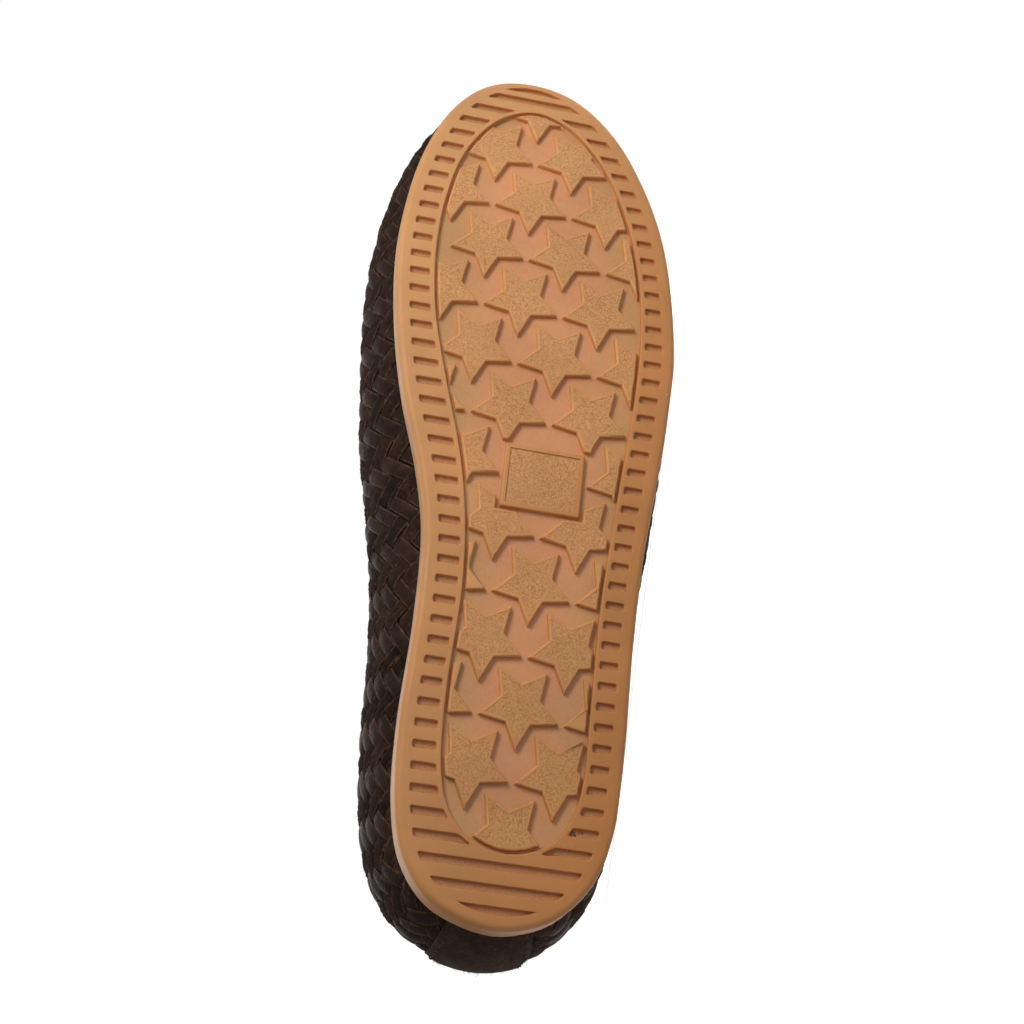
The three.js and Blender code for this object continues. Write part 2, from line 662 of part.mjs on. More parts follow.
const shoe = new THREE.Group();
const addPiece = (name, geometry, look) => {
  const mesh = new THREE.Mesh(geometry, look);
  mesh.name = name;
  shoe.add(mesh);
  return mesh;
};
const soleMesh = addPiece('outsole', outsole(), GUM);
const upperMesh = addPiece('upper', upper(), WOVEN);
addPiece('heel_strip', heelStrip(), SUEDE);
addPiece('insole', insole(), LINING);
addPiece('tongue', tongue(), SUEDE);
eyelets.forEach((e) => addPiece(e.name, eyeletRing().applyMatrix4(e.place), METAL));
addPiece('lace_lower', laceBar('lower'), LACE);
addPiece('lace_upper', laceBar('upper'), LACE);

// Lying pose: the turn about w that brings the outer edge of the sole level at heel and ball, and the
// lean that brings the outer side of the upper down to the same floor.
function lyingPose() {
  const pointsOf = (mesh) => {
    const p = mesh.geometry.getAttribute('position');
    return Array.from({ length: p.count }, (_, i) => [p.getX(i), p.getY(i), p.getZ(i)]);
  };
  const sole = pointsOf(soleMesh);
  const wall = pointsOf(upperMesh);
  const reach = (points, turn, lean) => {
    let most = -Infinity;
    points.forEach(([u, v, w]) => {
      const out = (v * Math.cos(turn) - u * Math.sin(turn)) * Math.cos(lean) - w * Math.sin(lean);
      if (out > most) most = out;
    });
    return most;
  };
  const solve = (low, high, tooLow) => {
    let [a, b] = [low, high];
    for (let k = 0; k < 50; k++) {
      const mid = (a + b) / 2;
      if (tooLow(mid)) a = mid;
      else b = mid;
    }
    return (a + b) / 2;
  };
  const front = sole.filter((p) => p[0] > LENGTH / 2);
  const rear = sole.filter((p) => p[0] <= LENGTH / 2);
  let [turn, lean] = [0, 0];
  for (let k = 0; k < 6; k++) {
    turn = solve(-0.2, 0.2, (t) => reach(front, t, lean) > reach(rear, t, lean));
    lean = solve(0, 0.8, (l) => reach(wall, turn, l) > reach(sole, turn, l));
  }
  return { turn, lean };
}

const pose = lyingPose();
shoe.rotation.z = -pose.turn;
const laid = new THREE.Group();
laid.rotation.x = -(Math.PI / 2 - pose.lean);
laid.add(shoe);
const root = new THREE.Group();
root.add(laid);
root.updateMatrixWorld(true);
const box = new THREE.Box3().setFromObject(root, true);
const middle = box.getCenter(new THREE.Vector3());
laid.position.set(-middle.x, -middle.y, -box.min.z);
root.updateMatrixWorld(true);

export default root;
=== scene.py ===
# A boat shoe for the left foot, woven leather on a star-tread gum sole, lying on its outer side.
# Shapes are worked out in the shoe's own millimetres: u from heel to toe, v to the outer side of the
# foot from the middle column of stars, w up from the ground. lay() takes them to the frame in metres.
import math
import bmesh
import bpy
import numpy as np
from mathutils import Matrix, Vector


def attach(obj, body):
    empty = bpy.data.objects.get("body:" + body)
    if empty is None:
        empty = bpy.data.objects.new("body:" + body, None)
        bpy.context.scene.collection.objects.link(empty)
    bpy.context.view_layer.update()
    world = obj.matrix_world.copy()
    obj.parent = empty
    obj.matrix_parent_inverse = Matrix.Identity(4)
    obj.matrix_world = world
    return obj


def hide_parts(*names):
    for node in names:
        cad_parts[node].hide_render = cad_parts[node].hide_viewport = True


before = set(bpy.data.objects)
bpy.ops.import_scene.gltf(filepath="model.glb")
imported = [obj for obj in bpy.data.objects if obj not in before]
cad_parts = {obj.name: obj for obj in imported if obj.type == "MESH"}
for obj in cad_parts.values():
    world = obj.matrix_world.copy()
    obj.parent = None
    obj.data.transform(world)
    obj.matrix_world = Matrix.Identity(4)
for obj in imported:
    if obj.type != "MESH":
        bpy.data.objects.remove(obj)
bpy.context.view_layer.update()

# Sole
LENGTH = 256.5
SOLE_HEEL = 10.5
SOLE_FOREFOOT = 7.5
SPRING_START = 158
TOE_SPRING = 8.5
TREAD_DEPTH = 1.7
SLOT_DEPTH = 1.4
SLOT_WIDTH = 2.2
SLOT_ROUND = 0.55
SLOT_OUTER_INSET = 3.9
SLOT_INNER_GAP = 1.3
END_SLOTS = ((5.9, 11, 9.8, -2.2), (252, -2.3, 8.4, 1.9))
STAR_PITCH = 22.88
ROW_PITCH = 17.03
ROW_ZERO = 211.8
STAR_RADIUS = 11.25
STAR_STRETCH = 1.08
STAR_WAIST = 0.5
STAR_CLEARANCE = 0.9
STAR_LEAST_AREA = 3.6
FIELD_SHARE = 0.86
FIELD_RIM = 0.7
FIELD_DEPTH = 0.1
FIELD_LEAST_AREA = 8
PLAQUE_CENTRE = (122.8, 11.3)
PLAQUE_SIZE = (18.8, 22.2)
PLAQUE_GAP = 1.1
PLAQUE_FRAME = 1.3
PLAQUE_SUNK = 0.4
ROLL_INSET = 1.9
ROLL_HEIGHT = 2
TOP_INSET = 1.7
TOP_HEIGHT = 2.2
STAR_ROUND = 0.5
EDGE_ROUND = 0.32
FOOT_ROUND = 0.22
THINNING = (55, 165)
BEND_STEPS = (*range(60, 160, 12), *range(160, 256, 4))
BEND_ABOVE = 3
CUT_LOW = -3
CLIP_REACH = 5
PLATE_REACH = 6
LEVEL_SLACK = 0.2
FIELD_SLACK = 0.03
SHARP_TURN = math.radians(40)
SHALLOW = 0.5
WELL_SHRINK = 0.5
SOLE_MERGE = 0.05
PLAQUE_SLACK = 0.3
FACING_DOWN = -0.9
FACING_HALF_DOWN = -0.25
# Upper
COLUMNS = 168
FINE = 4
COLUMN_MM = 3.77
LOW_STEPS = 52
HIGH_STEPS = 24
HEEL_TO_TOE = COLUMNS / 2
FRONT_OF_COLLAR = 0.74 * HEEL_TO_TOE
FRONT_OF_APRON = 0.62 * HEEL_TO_TOE
SEAM_START = 0.6 * HEEL_TO_TOE
SEAM_RADIUS = 1.6
SEAM_OUTSET = 0.5
SEAM_PITCH = 4.6
SEAM_STITCH_REACH = 1.62
SEAM_STITCH_RADIUS = 0.42
ROLL_RADIUS = 1.6
STITCH_PITCH = 3.0
STITCH_RADIUS = 0.36
LINING_OUTSET = -1.5
LINING_THICK = 0.6
SHEET_MERGE = 0.01
APRON_THICK = 1.5
HEEL_STRIP_THICK = 1.6
HEEL_STRIP_ROUND = 0.45
HEEL_STRIP_ROWS = (0.025, 0.955)
FEATHER_INSET = 3.4
GAP = 0.35
HEEL_STRIP_HALF = 12.8
EYELET_RADIUS = 3.6
EYELET_HOLE = 2
EYELETS = {"lower": (0.66, 6.5), "upper": (0.57, 7)}
LACE_RADIUS = 1.75
LACE_FLAT = 0.5
LACE_SQUARE = 0.55
RUN_BELOW = 10.5
RUN_OUTSET = -3.4
INSOLE_THICK = 3
INSOLE_INSET = 5.6
TONGUE_FRONT = 181
TONGUE_NOTCH = (169.5, 4.5, 5.5)
TONGUE_SLOPE = 0.235
TONGUE_TAPER = 0.05
# Weave
WEAVE_COLUMNS = 184
WEAVE_ROWS = 14
WEAVE_STEPS = 6
CROSSING_MM = 4.5
STRIP_HALF = 0.47
STRIP_WAVE = 0.52
STRIP_THICK = 1.0
STRIP_CROWN = 0.22
STRIP_SEAT = -0.25
# Section through a strip: share of its half width, drop in thicknesses, and how near the cut edge
STRIP_SECTION = [
    (-1, 1, 1),
    (-1, 0.12, 1),
    (-0.62, 0, 0.55),
    (0, 0, 0),
    (0.62, 0, 0.55),
    (1, 0.12, 1),
    (1, 1, 1),
]
FIBRE_FLOOR = 0.0002
FIBRE_TAPER = (0.055, 0.05, 0.045, 0.035, 0.015)
HEEL_HAIRS = 170
# Gum rubber: how far it reaches from the origin, its width, and painted shade on its outer edge and painted
# light on its inner edge
RUBBER_REACH = 0.13
RUBBER_WIDE = 0.07
GUM_SIDE_LIGHT_AND_SHADE = ((0.9, 0.87, 0.76, 1), (1.04, 1.14, 1.24, 1))
# Light that passes a little way through the gum
GUM_GLOW = {"Subsurface_Weight": 0.4, "Subsurface_Scale": 0.0011, "Subsurface_Radius": (1, 0.4, 0.15)}
SPECKLE_TINT = (1, 1.4, 2.1)
# Grit pressed into one slot at the heel: u, v and reach of each spot
GRIT = ((27.5, 28.4, 1.0), (27.0, 29.3, 0.55), (27.6, 30.2, 0.5), (27.6, 31.0, 0.5))
# Camera at the photograph's angle, and the lamps: name, place, size and power
CAMERA_AT = (-0.2111, -0.4906, 0.006)
CAMERA_AIM = (-0.0104, -0.0205, 0.0395)
CAMERA_TOP = (0.9145, -0.3960, 0.0823)
CAMERA_ROLL = math.radians(2.8)
PHOTO_VIEW = math.radians(31.03)
LAMP_AIM = Vector((0, 0, 0.04))
LAMPS = (
    ("key", (0.165, -0.47, 0.275), (0.3, 0.18), 1.8),
    ("top", (-0.1, 0.35, 1.0), (1.0, 1.0), 1.8),
    ("back", (0.1, 1.1, 0.6), (1.0, 1.0), 7),
)
SKY_LIGHT = 0.24
SKY_SEEN = 1.0
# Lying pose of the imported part: turn about w, lean on the outer side, and the point that is the origin
TURN = math.radians(2.655)
LEAN = math.radians(11.2617)
ORIGIN = (127.533, 42.895, 24.545)

# Edge of the sole from heel to toe: u, v on the inner side, v on the outer side
SOLE_EDGE = [
    (2.7, -0.9, 22.6),
    (7, -8, 29),
    (16, -14.4, 35.8),
    (30, -18, 39.6),
    (50, -19.2, 40.6),
    (80, -18.4, 40.6),
    (105, -19.4, 41.5),
    (122, -23.1, 43.1),
    (143, -29.8, 45),
    (165, -34.6, 45.9),
    (188, -36.9, 43.7),
    (208, -35.8, 39.6),
    (225, -32.5, 33.2),
    (240, -26.7, 24.9),
    (250, -19.4, 15.7),
    (254.8, -12, 7.5),
]
SOLE_ENDS = ((0, 11.6), (LENGTH, -2.5))
# Edge of the sunken well that holds the stars
WELL_EDGE = [
    (23, 1, 22.5),
    (30, -4.6, 27.8),
    (40, -7.2, 30),
    (60, -8.1, 30.3),
    (88, -7.2, 30.5),
    (108, -8.6, 31.7),
    (127, -12.2, 33.1),
    (150, -19, 35),
    (170, -24.1, 35.4),
    (190, -26, 33.7),
    (208, -24.9, 29.5),
    (224, -21.3, 23.1),
    (236, -14.9, 15),
    (242, -8.5, 8),
]
WELL_ENDS = ((19.4, 11.5), (244.7, -0.7))
# Upper from the heel (at 0) to the toe (at 1): how far the wall stands out on the inner and outer side,
# how high, where the seam or topline runs, and the edge of the opening
UPPER_KEYS = ("at", "inner", "outer", "bulge", "inset", "seam", "top_u", "top_half", "top")
UPPER = [
    (0, 4, 4, 21, 1.6, 41, 5, 0, 58.5),
    (0.07, 4.2, 3.9, 21.5, 1.2, 40.5, 10, 14.5, 58),
    (0.14, 5, 3.8, 22.5, 0.6, 38.5, 24, 24, 56),
    (0.23, 6.4, 3.9, 23, 0, 35.5, 49, 28, 52.5),
    (0.34, 9, 4.6, 24, -1.5, 34, 79, 29, 50),
    (0.44, 11, 5.2, 26, 1.5, 36.5, 104, 26.5, 53),
    (0.52, 9.4, 4.5, 27, 8, 43, 122, 18.5, 59.5),
    (0.6, 6.4, 3.8, 27, 14, 45.5, 140, 12, 63),
    (0.7, 5, 3.6, 26, 16, 42.5, 156, 11, 61.5),
    (0.82, 4.6, 4, 21, 15, 35, 167, 8.8, 58.8),
    (0.92, 4.2, 4.1, 16.5, 14, 28.5, 171.5, 4.9, 57.2),
    (1, 3.6, 3.6, 14.5, 13.5, 26, 173, 0, 56.6),
]
# Section through the collar band: row on the wall and height off it
COLLAR_SECTION = [
    (0.985, -0.4),
    (0.975, 0.35),
    (0.99, 0.85),
    (1.04, 1.1),
    (1.3, 1.2),
    (1.6, 1.2),
    (1.86, 1.15),
    (2.0, 1.0),
    (2.0, -2.1),
    (1.86, -2.45),
    (1.6, -2.45),
    (1.58, -1.9),
    (1.8, -0.4),
    (1.3, -0.4),
]
# Section through an eyelet: radius and height off the wall
EYELET_SECTION = [
    (EYELET_HOLE, -2.6),
    (EYELET_HOLE, 1.5),
    (EYELET_HOLE + 0.15, 1.95),
    (EYELET_HOLE + 0.55, 2.2),
    (EYELET_RADIUS - 0.5, 2.1),
    (EYELET_RADIUS - 0.1, 1.75),
    (EYELET_RADIUS, 1.3),
    (EYELET_RADIUS - 0.1, 1.1),
    (EYELET_HOLE + 0.3, 1.1),
    (EYELET_HOLE + 0.3, -2.6),
]


# Curves and the shoe's own surfaces

def smooth(low, high, x):
    t = np.clip((np.asarray(x, float) - low) / (high - low), 0, 1)
    return t * t * (3 - 2 * t)


def lift(u):
    return TOE_SPRING * (np.maximum(0, np.asarray(u, float) - SPRING_START) / (LENGTH - SPRING_START)) ** 2


def sole_thick(u):
    return SOLE_HEEL + (SOLE_FOREFOOT - SOLE_HEEL) * smooth(*THINNING, u)


def sole_top(u):
    return lift(u) + sole_thick(u)


def lay(points):
    """Shoe millimetres to the frame's metres, with the shoe lying on its outer side."""
    u, v, w = np.moveaxis(np.asarray(points, float), -1, 0)
    along = u * math.cos(TURN) + v * math.sin(TURN) - ORIGIN[0]
    out = v * math.cos(TURN) - u * math.sin(TURN) - ORIGIN[1]
    up = w - ORIGIN[2]
    y = math.sin(LEAN) * out + math.cos(LEAN) * up
    z = math.sin(LEAN) * up - math.cos(LEAN) * out
    return np.stack([along, y, z], -1) / 1000


def shoe_places(points):
    """The frame's metres back to shoe millimetres."""
    x, y, z = np.moveaxis(np.asarray(points, float) * 1000, -1, 0)
    along = x + ORIGIN[0]
    out = math.sin(LEAN) * y - math.cos(LEAN) * z + ORIGIN[1]
    w = math.cos(LEAN) * y + math.sin(LEAN) * z + ORIGIN[2]
    u = along * math.cos(TURN) - out * math.sin(TURN)
    v = along * math.sin(TURN) + out * math.cos(TURN)
    return np.stack([u, v, w], -1)


def on_curve(points, places, closed):
    """Points of a centripetal Catmull-Rom curve at places from 0 to 1."""
    points = np.asarray(points, float)
    count = len(points)
    spot = np.asarray(places, float) * (count if closed else count - 1)
    first = np.floor(spot).astype(int)
    if closed:
        near = points[(first[:, None] + np.array([-1, 0, 1, 2])) % count]
    else:
        first = np.minimum(first, count - 2)
        ends = (2 * points[0] - points[1], 2 * points[-1] - points[-2])
        padded = np.vstack([ends[0], points, ends[1]])
        near = padded[first[:, None] + np.arange(4)]
    t = (spot - first)[:, None]
    gaps = np.maximum(np.sqrt(np.linalg.norm(np.diff(near, axis=1), axis=2)), 1e-4)
    d0, d1, d2 = gaps[:, :1], gaps[:, 1:2], gaps[:, 2:]
    p0, p1, p2, p3 = (near[:, k] for k in range(4))
    m1 = ((p1 - p0) / d0 - (p2 - p0) / (d0 + d1) + (p2 - p1) / d1) * d1
    m2 = ((p2 - p1) / d1 - (p3 - p1) / (d1 + d2) + (p3 - p2) / d2) * d1
    return p1 + m1 * t + (3 * p2 - 3 * p1 - 2 * m1 - m2) * t**2 + (2 * p1 - 2 * p2 + m1 + m2) * t**3


def run_along(points):
    """Distance along a polyline to each of its points."""
    return np.concatenate([[0], np.cumsum(np.linalg.norm(np.diff(points, axis=0), axis=1))])


def part_way(points, run, want):
    """Points of a polyline at wanted distances along it."""
    return np.stack([np.interp(want, run, points[:, k]) for k in range(points.shape[1])], -1)


def spread(points, steps):
    """A polyline resampled into equal steps."""
    run = run_along(points)
    return part_way(points, run, np.linspace(0, run[-1], steps + 1))


def edge_loop(rows, ends, count):
    """A closed edge from the heel round the inner side to the toe and back, and its outward directions."""
    control = [ends[0]]
    control += [(u, inner) for u, inner, outer in rows]
    control.append(ends[1])
    control += [(u, outer) for u, inner, outer in reversed(rows)]
    toe = (len(rows) + 1) / len(control)
    halves = []
    for start, stop in ((0, toe), (toe, 1)):
        fine = on_curve(control, np.linspace(start, stop, 601) % 1, True)
        halves.append(spread(fine, count // 2)[:-1])
    loop = np.vstack(halves)
    along = np.roll(loop, -1, 0) - np.roll(loop, 1, 0)
    along /= np.linalg.norm(along, axis=1, keepdims=True)
    return loop, np.stack([along[:, 1], -along[:, 0]], -1)


def sides_at(loop, u):
    """v of a closed edge on the inner and the outer side at u."""
    half = len(loop) // 2
    inner = np.interp(u, loop[: half + 1, 0], loop[: half + 1, 1])
    back = np.vstack([loop[half:], loop[:1]])[::-1]
    return inner, np.interp(u, back[:, 0], back[:, 1])


sole_loop, sole_out = edge_loop(SOLE_EDGE, SOLE_ENDS, COLUMNS * FINE)


def middle_of(u):
    inner, outer = sides_at(sole_loop, u)
    return (inner + outer) / 2


def upper_at(key, at):
    """One column of the upper's table at places from heel to toe, even about both ends."""
    column = UPPER_KEYS.index(key)
    odd = -1 if key == "top_half" else 1
    place = [-UPPER[1][0]] + [row[0] for row in UPPER] + [2 - UPPER[-2][0]]
    value = [UPPER[1][column] * odd] + [row[column] for row in UPPER] + [UPPER[-2][column] * odd]
    place, value = np.array(place, float), np.array(value, float)
    k = np.clip(np.searchsorted(place, at, side="left") - 1, 1, len(place) - 3)
    span = place[k + 1] - place[k]
    t = (at - place[k]) / span
    slope_a = (value[k + 1] - value[k - 1]) / (place[k + 1] - place[k - 1]) * span
    slope_b = (value[k + 2] - value[k]) / (place[k + 2] - place[k]) * span
    start = value[k] * (2 * t**3 - 3 * t**2 + 1) + slope_a * (t**3 - 2 * t**2 + t)
    return start + value[k + 1] * (3 * t**2 - 2 * t**3) + slope_b * (t**3 - t**2)


def upper_skin():
    """Outside of the upper as a grid of columns round the shoe and points up from the sole."""
    count = COLUMNS * FINE
    place = np.arange(count) / FINE
    on_inner = place <= HEEL_TO_TOE
    at = np.where(on_inner, place, COLUMNS - place) / HEEL_TO_TOE
    stand = np.where(on_inner, upper_at("inner", at), upper_at("outer", at))
    bulge = upper_at("bulge", at)
    base = sole_top(sole_loop[:, 0])

    def off(outset, height):
        flat = sole_loop + sole_out * outset[:, None]
        return np.column_stack([flat, base + height])

    top_u = upper_at("top_u", at)
    top_v = middle_of(top_u) + upper_at("top_half", at) * np.where(on_inner, -1, 1)
    top = np.column_stack([top_u, top_v, upper_at("top", at)])
    level = np.ones(count)
    control = np.stack(
        [
            off(-FEATHER_INSET * level, GAP * level),
            off(-FEATHER_INSET + (stand + FEATHER_INSET) * 0.66, GAP + bulge * 0.3),
            off(stand, bulge),
            off(-upper_at("inset", at), upper_at("seam", at)),
            top,
        ],
        1,
    )
    grid = []
    for line in control:
        low = spread(on_curve(line, np.linspace(0, 0.75, 61), False), LOW_STEPS)
        high = spread(on_curve(line, np.linspace(0.75, 1, 31), False), HIGH_STEPS)
        grid.append(np.vstack([low, high[1:]]))
    return np.array(grid)


SKIN = upper_skin()
along_wall = np.roll(SKIN, -FINE, 0) - np.roll(SKIN, FINE, 0)
up_wall = np.gradient(SKIN, axis=1)
SKIN_OUT = -np.cross(up_wall, along_wall)
SKIN_OUT /= np.linalg.norm(SKIN_OUT, axis=2, keepdims=True)


def pick(grid, column, row):
    """A grid's value at columns round the shoe and rows 0 at the sole, 1 at the seam, 2 at the opening."""
    column, row = np.broadcast_arrays(np.asarray(column, float), np.asarray(row, float))
    c = (column * FINE) % (COLUMNS * FINE)
    r = np.where(row <= 1, row * LOW_STEPS, LOW_STEPS + (row - 1) * HIGH_STEPS)
    r = np.clip(r, 0, LOW_STEPS + HIGH_STEPS - 1e-6)
    ci, ri = np.floor(c).astype(int), np.floor(r).astype(int)
    cf, rf = (c - ci)[..., None], (r - ri)[..., None]
    cn = (ci + 1) % (COLUMNS * FINE)
    ci = ci % (COLUMNS * FINE)
    low = grid[ci, ri] * (1 - cf) + grid[cn, ri] * cf
    high = grid[ci, ri + 1] * (1 - cf) + grid[cn, ri + 1] * cf
    return low * (1 - rf) + high * rf


def on_skin(column, row, outset=0):
    """Points of the upper in shoe millimetres, raised off its smooth outside."""
    outward = pick(SKIN_OUT, column, row)
    outward /= np.linalg.norm(outward, axis=-1, keepdims=True)
    return pick(SKIN, column, row) + outward * np.asarray(outset, float)[..., None]


def out_at(column, row):
    """Direction out of the wall."""
    return on_skin(column, row, 1) - on_skin(column, row)


def up_at(column, row, step=0.05):
    """Direction up the wall."""
    rise = pick(SKIN, column, min(2, row + step)) - pick(SKIN, column, row - step)
    return rise / np.linalg.norm(rise, axis=-1, keepdims=True)


def row_below(column, below):
    """Row that lies a number of millimetres below the edge of the opening."""
    span = np.linalg.norm(pick(SKIN, column, 2) - pick(SKIN, column, 1), axis=-1)
    return 2 - below / span


# Making pieces

def deselect():
    bpy.ops.object.select_all(action="DESELECT")


def choose(piece):
    deselect()
    piece.select_set(True)
    bpy.context.view_layer.objects.active = piece


def modify(piece, kind, **settings):
    """Adds a modifier with its settings and applies it."""
    made = piece.modifiers.new(kind.lower(), kind)
    for key, value in settings.items():
        setattr(made, key, value)
    choose(piece)
    bpy.ops.object.modifier_apply(modifier=made.name)


def edit_whole(piece, *steps):
    """Runs mesh operators, each with its settings, on the whole of a piece."""
    choose(piece)
    bpy.ops.object.mode_set(mode="EDIT")
    for operator, settings in steps:
        bpy.ops.mesh.select_all(action="SELECT")
        operator(**settings)
    bpy.ops.object.mode_set(mode="OBJECT")


def face_out(piece):
    """Turns the faces of closed shapes outwards."""
    edit_whole(piece, (bpy.ops.mesh.normals_make_consistent, {"inside": False}))


def merge_near(reach):
    """Editing step that merges corners lying within a number of millimetres."""
    return bpy.ops.mesh.remove_doubles, {"threshold": reach / 1000}


def copy_of(piece):
    copy = piece.copy()
    copy.data = piece.data.copy()
    bpy.context.collection.objects.link(copy)
    return copy


def places_of(piece):
    """Corners of a piece, in millimetres."""
    return np.array([vert.co for vert in piece.data.vertices]) * 1000


def renumber(piece):
    """Puts corners and faces in order of their places, because extruding may number them anew each run."""
    mesh = piece.data
    order = sorted(tuple(vert.co) for vert in mesh.vertices)
    rank = {place: k for k, place in enumerate(order)}
    faces = []
    for face in mesh.polygons:
        faces.append([rank[tuple(mesh.vertices[corner].co)] for corner in face.vertices])
    mesh.clear_geometry()
    mesh.from_pydata(order, [], sorted(faces))


def stack_rings(name, rings, capped=True):
    """A circle laid on the first ring and extruded through the others, capped or closed into itself."""
    deselect()
    bpy.ops.mesh.primitive_circle_add(
        vertices=len(rings[0]), radius=1, fill_type="NGON" if capped else "NOTHING"
    )
    piece = bpy.context.object
    piece.name = name
    bpy.ops.object.mode_set(mode="EDIT")
    bpy.ops.mesh.select_mode(type="VERT")
    bpy.ops.mesh.select_all(action="SELECT")
    last = None
    for ring in rings:
        if last is not None:
            if capped:
                bpy.ops.mesh.extrude_region_move()
            else:
                bpy.ops.mesh.extrude_edges_move()
        edit = bmesh.from_edit_mesh(piece.data)
        if last is None:
            corners = list(edit.verts)
        else:
            moved = {tuple(vert.co): vert for vert in edit.verts if vert.select}
            corners = [moved[place] for place in last]
        for vert, place in zip(corners, ring):
            vert.co = place
        last = [tuple(vert.co) for vert in corners]
        bmesh.update_edit_mesh(piece.data)
    if not capped:
        bpy.ops.mesh.select_all(action="DESELECT")
        bpy.ops.mesh.select_non_manifold(extend=False)
        bpy.ops.mesh.bridge_edge_loops()
    bpy.ops.object.mode_set(mode="OBJECT")
    face_out(piece)
    renumber(piece)
    return piece


def joined(pieces, name):
    deselect()
    for piece in pieces:
        piece.select_set(True)
    bpy.context.view_layer.objects.active = pieces[0]
    bpy.ops.object.join()
    pieces[0].name = name
    return pieces[0]


def carve(piece, tool, how="DIFFERENCE"):
    """A boolean with another solid, which is used up."""
    modify(piece, "BOOLEAN", operation=how, object=tool, solver="EXACT")
    bpy.data.objects.remove(tool)


def laid_grid(name, columns, rows, steps, outset):
    """A grid laid on the upper between two columns and two rows."""
    deselect()
    bpy.ops.mesh.primitive_grid_add(x_subdivisions=steps[0], y_subdivisions=steps[1], size=2)
    piece = bpy.context.object
    piece.name = name
    flat = np.array([vert.co for vert in piece.data.vertices])
    column = columns[0] + (columns[1] - columns[0]) * (flat[:, 0] + 1) / 2
    row = rows[0] + (rows[1] - rows[0]) * (flat[:, 1] + 1) / 2
    height = outset(column, row) if callable(outset) else np.full(len(flat), outset)
    set_places(piece, lay(on_skin(column, row, height)))
    first = piece.data.polygons[0]
    corner = first.vertices[0]
    under, over = (lay(on_skin(column[corner], row[corner], off)) for off in (0, 1))
    if first.normal.dot(Vector(over - under)) < 0:
        edit_whole(piece, (bpy.ops.mesh.flip_normals, {}))
    return piece


def set_places(piece, places):
    piece.data.vertices.foreach_set("co", np.asarray(places, np.float32).ravel())
    piece.data.update()


def thicken(piece, thick):
    """A wall's thickness, laid inwards from a sheet that faces out."""
    modify(piece, "SOLIDIFY", thickness=thick / 1000, offset=-1)


def slice_across(piece):
    """Cuts a flat piece across at steps along the shoe, so that it can bend to the sole's curve."""
    planes = [{"plane_co": (u / 1000, 0, 0), "plane_no": (1, 0, 0)} for u in BEND_STEPS]
    cuts = [(bpy.ops.mesh.bisect, plane) for plane in planes]
    corners = (bpy.ops.mesh.quads_convert_to_tris, {"quad_method": "BEAUTY", "ngon_method": "BEAUTY"})
    edit_whole(piece, *cuts, corners)


def wrap_faces(first, count, sides):
    """Faces round a stack of rings whose corners are numbered from the first on, both ends closed."""
    number = first + np.arange(count * sides).reshape(count, sides)
    ahead = np.roll(number, -1, 1)
    quads = np.stack([number[:-1], ahead[:-1], ahead[1:], number[1:]], -1).reshape(-1, 4)
    return quads.tolist() + [number[0, ::-1].tolist(), number[-1].tolist()]


def piece_from(name, places, faces):
    """One piece made of many closed shapes, from their corners and faces."""
    mesh = bpy.data.meshes.new(name)
    mesh.from_pydata(places, [], faces)
    piece = bpy.data.objects.new(name, mesh)
    bpy.context.collection.objects.link(piece)
    face_out(piece)
    return piece


def tubes(name, paths, radius, sides=6):
    """Many short tubes along paths in shoe millimetres, such as stitches, in one mesh."""
    places, faces = [], []
    for path in paths:
        rings = np.array(tube_rings(path, radius, sides))
        faces += wrap_faces(len(places), len(rings), sides)
        places += rings.reshape(-1, 3).tolist()
    return piece_from(name, places, faces)


def tube_rings(path, radius, sides, across=None, flat=1.0, square=1.0):
    """Rings round a path in shoe millimetres, laid in the frame; flattened and squared where asked."""
    path = np.asarray(path, float)
    radius = np.broadcast_to(np.asarray(radius, float), len(path))
    ahead = np.gradient(path, axis=0)
    ahead /= np.linalg.norm(ahead, axis=1, keepdims=True)
    across = np.cross(ahead[0], (0.31, 0.22, 0.93)) if across is None else np.array(across, float)
    turn = np.linspace(0, 2 * math.pi, sides, endpoint=False)[:, None]
    wide = np.sign(np.cos(turn)) * np.abs(np.cos(turn)) ** square
    thick = np.sign(np.sin(turn)) * np.abs(np.sin(turn)) ** square * flat
    rings = []
    for place, along, r in zip(path, ahead, radius):
        across = across - along * across.dot(along)
        across /= np.linalg.norm(across)
        other = np.cross(along, across)
        rings.append(lay(place + r * (wide * across + thick * other)))
    return rings


def fit_up(piece, slot, material, *nodes, shade=60):
    """Finish of a piece: its shading, body and material, with the parts it stands for hidden; slot is not
    used.
    """
    choose(piece)
    bpy.ops.object.shade_smooth_by_angle(angle=math.radians(shade))
    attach(piece, "root")
    for look in material if isinstance(material, list) else [material]:
        piece.data.materials.append(look)
    if nodes:
        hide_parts(*nodes)
    return piece


# Finishes

def srgb(red, green, blue):
    """Linear colour from the 0 to 255 values of a screen."""
    parts = [c / 255 for c in (red, green, blue)]
    return tuple(c / 12.92 if c <= 0.04045 else ((c + 0.055) / 1.055) ** 2.4 for c in parts) + (1,)


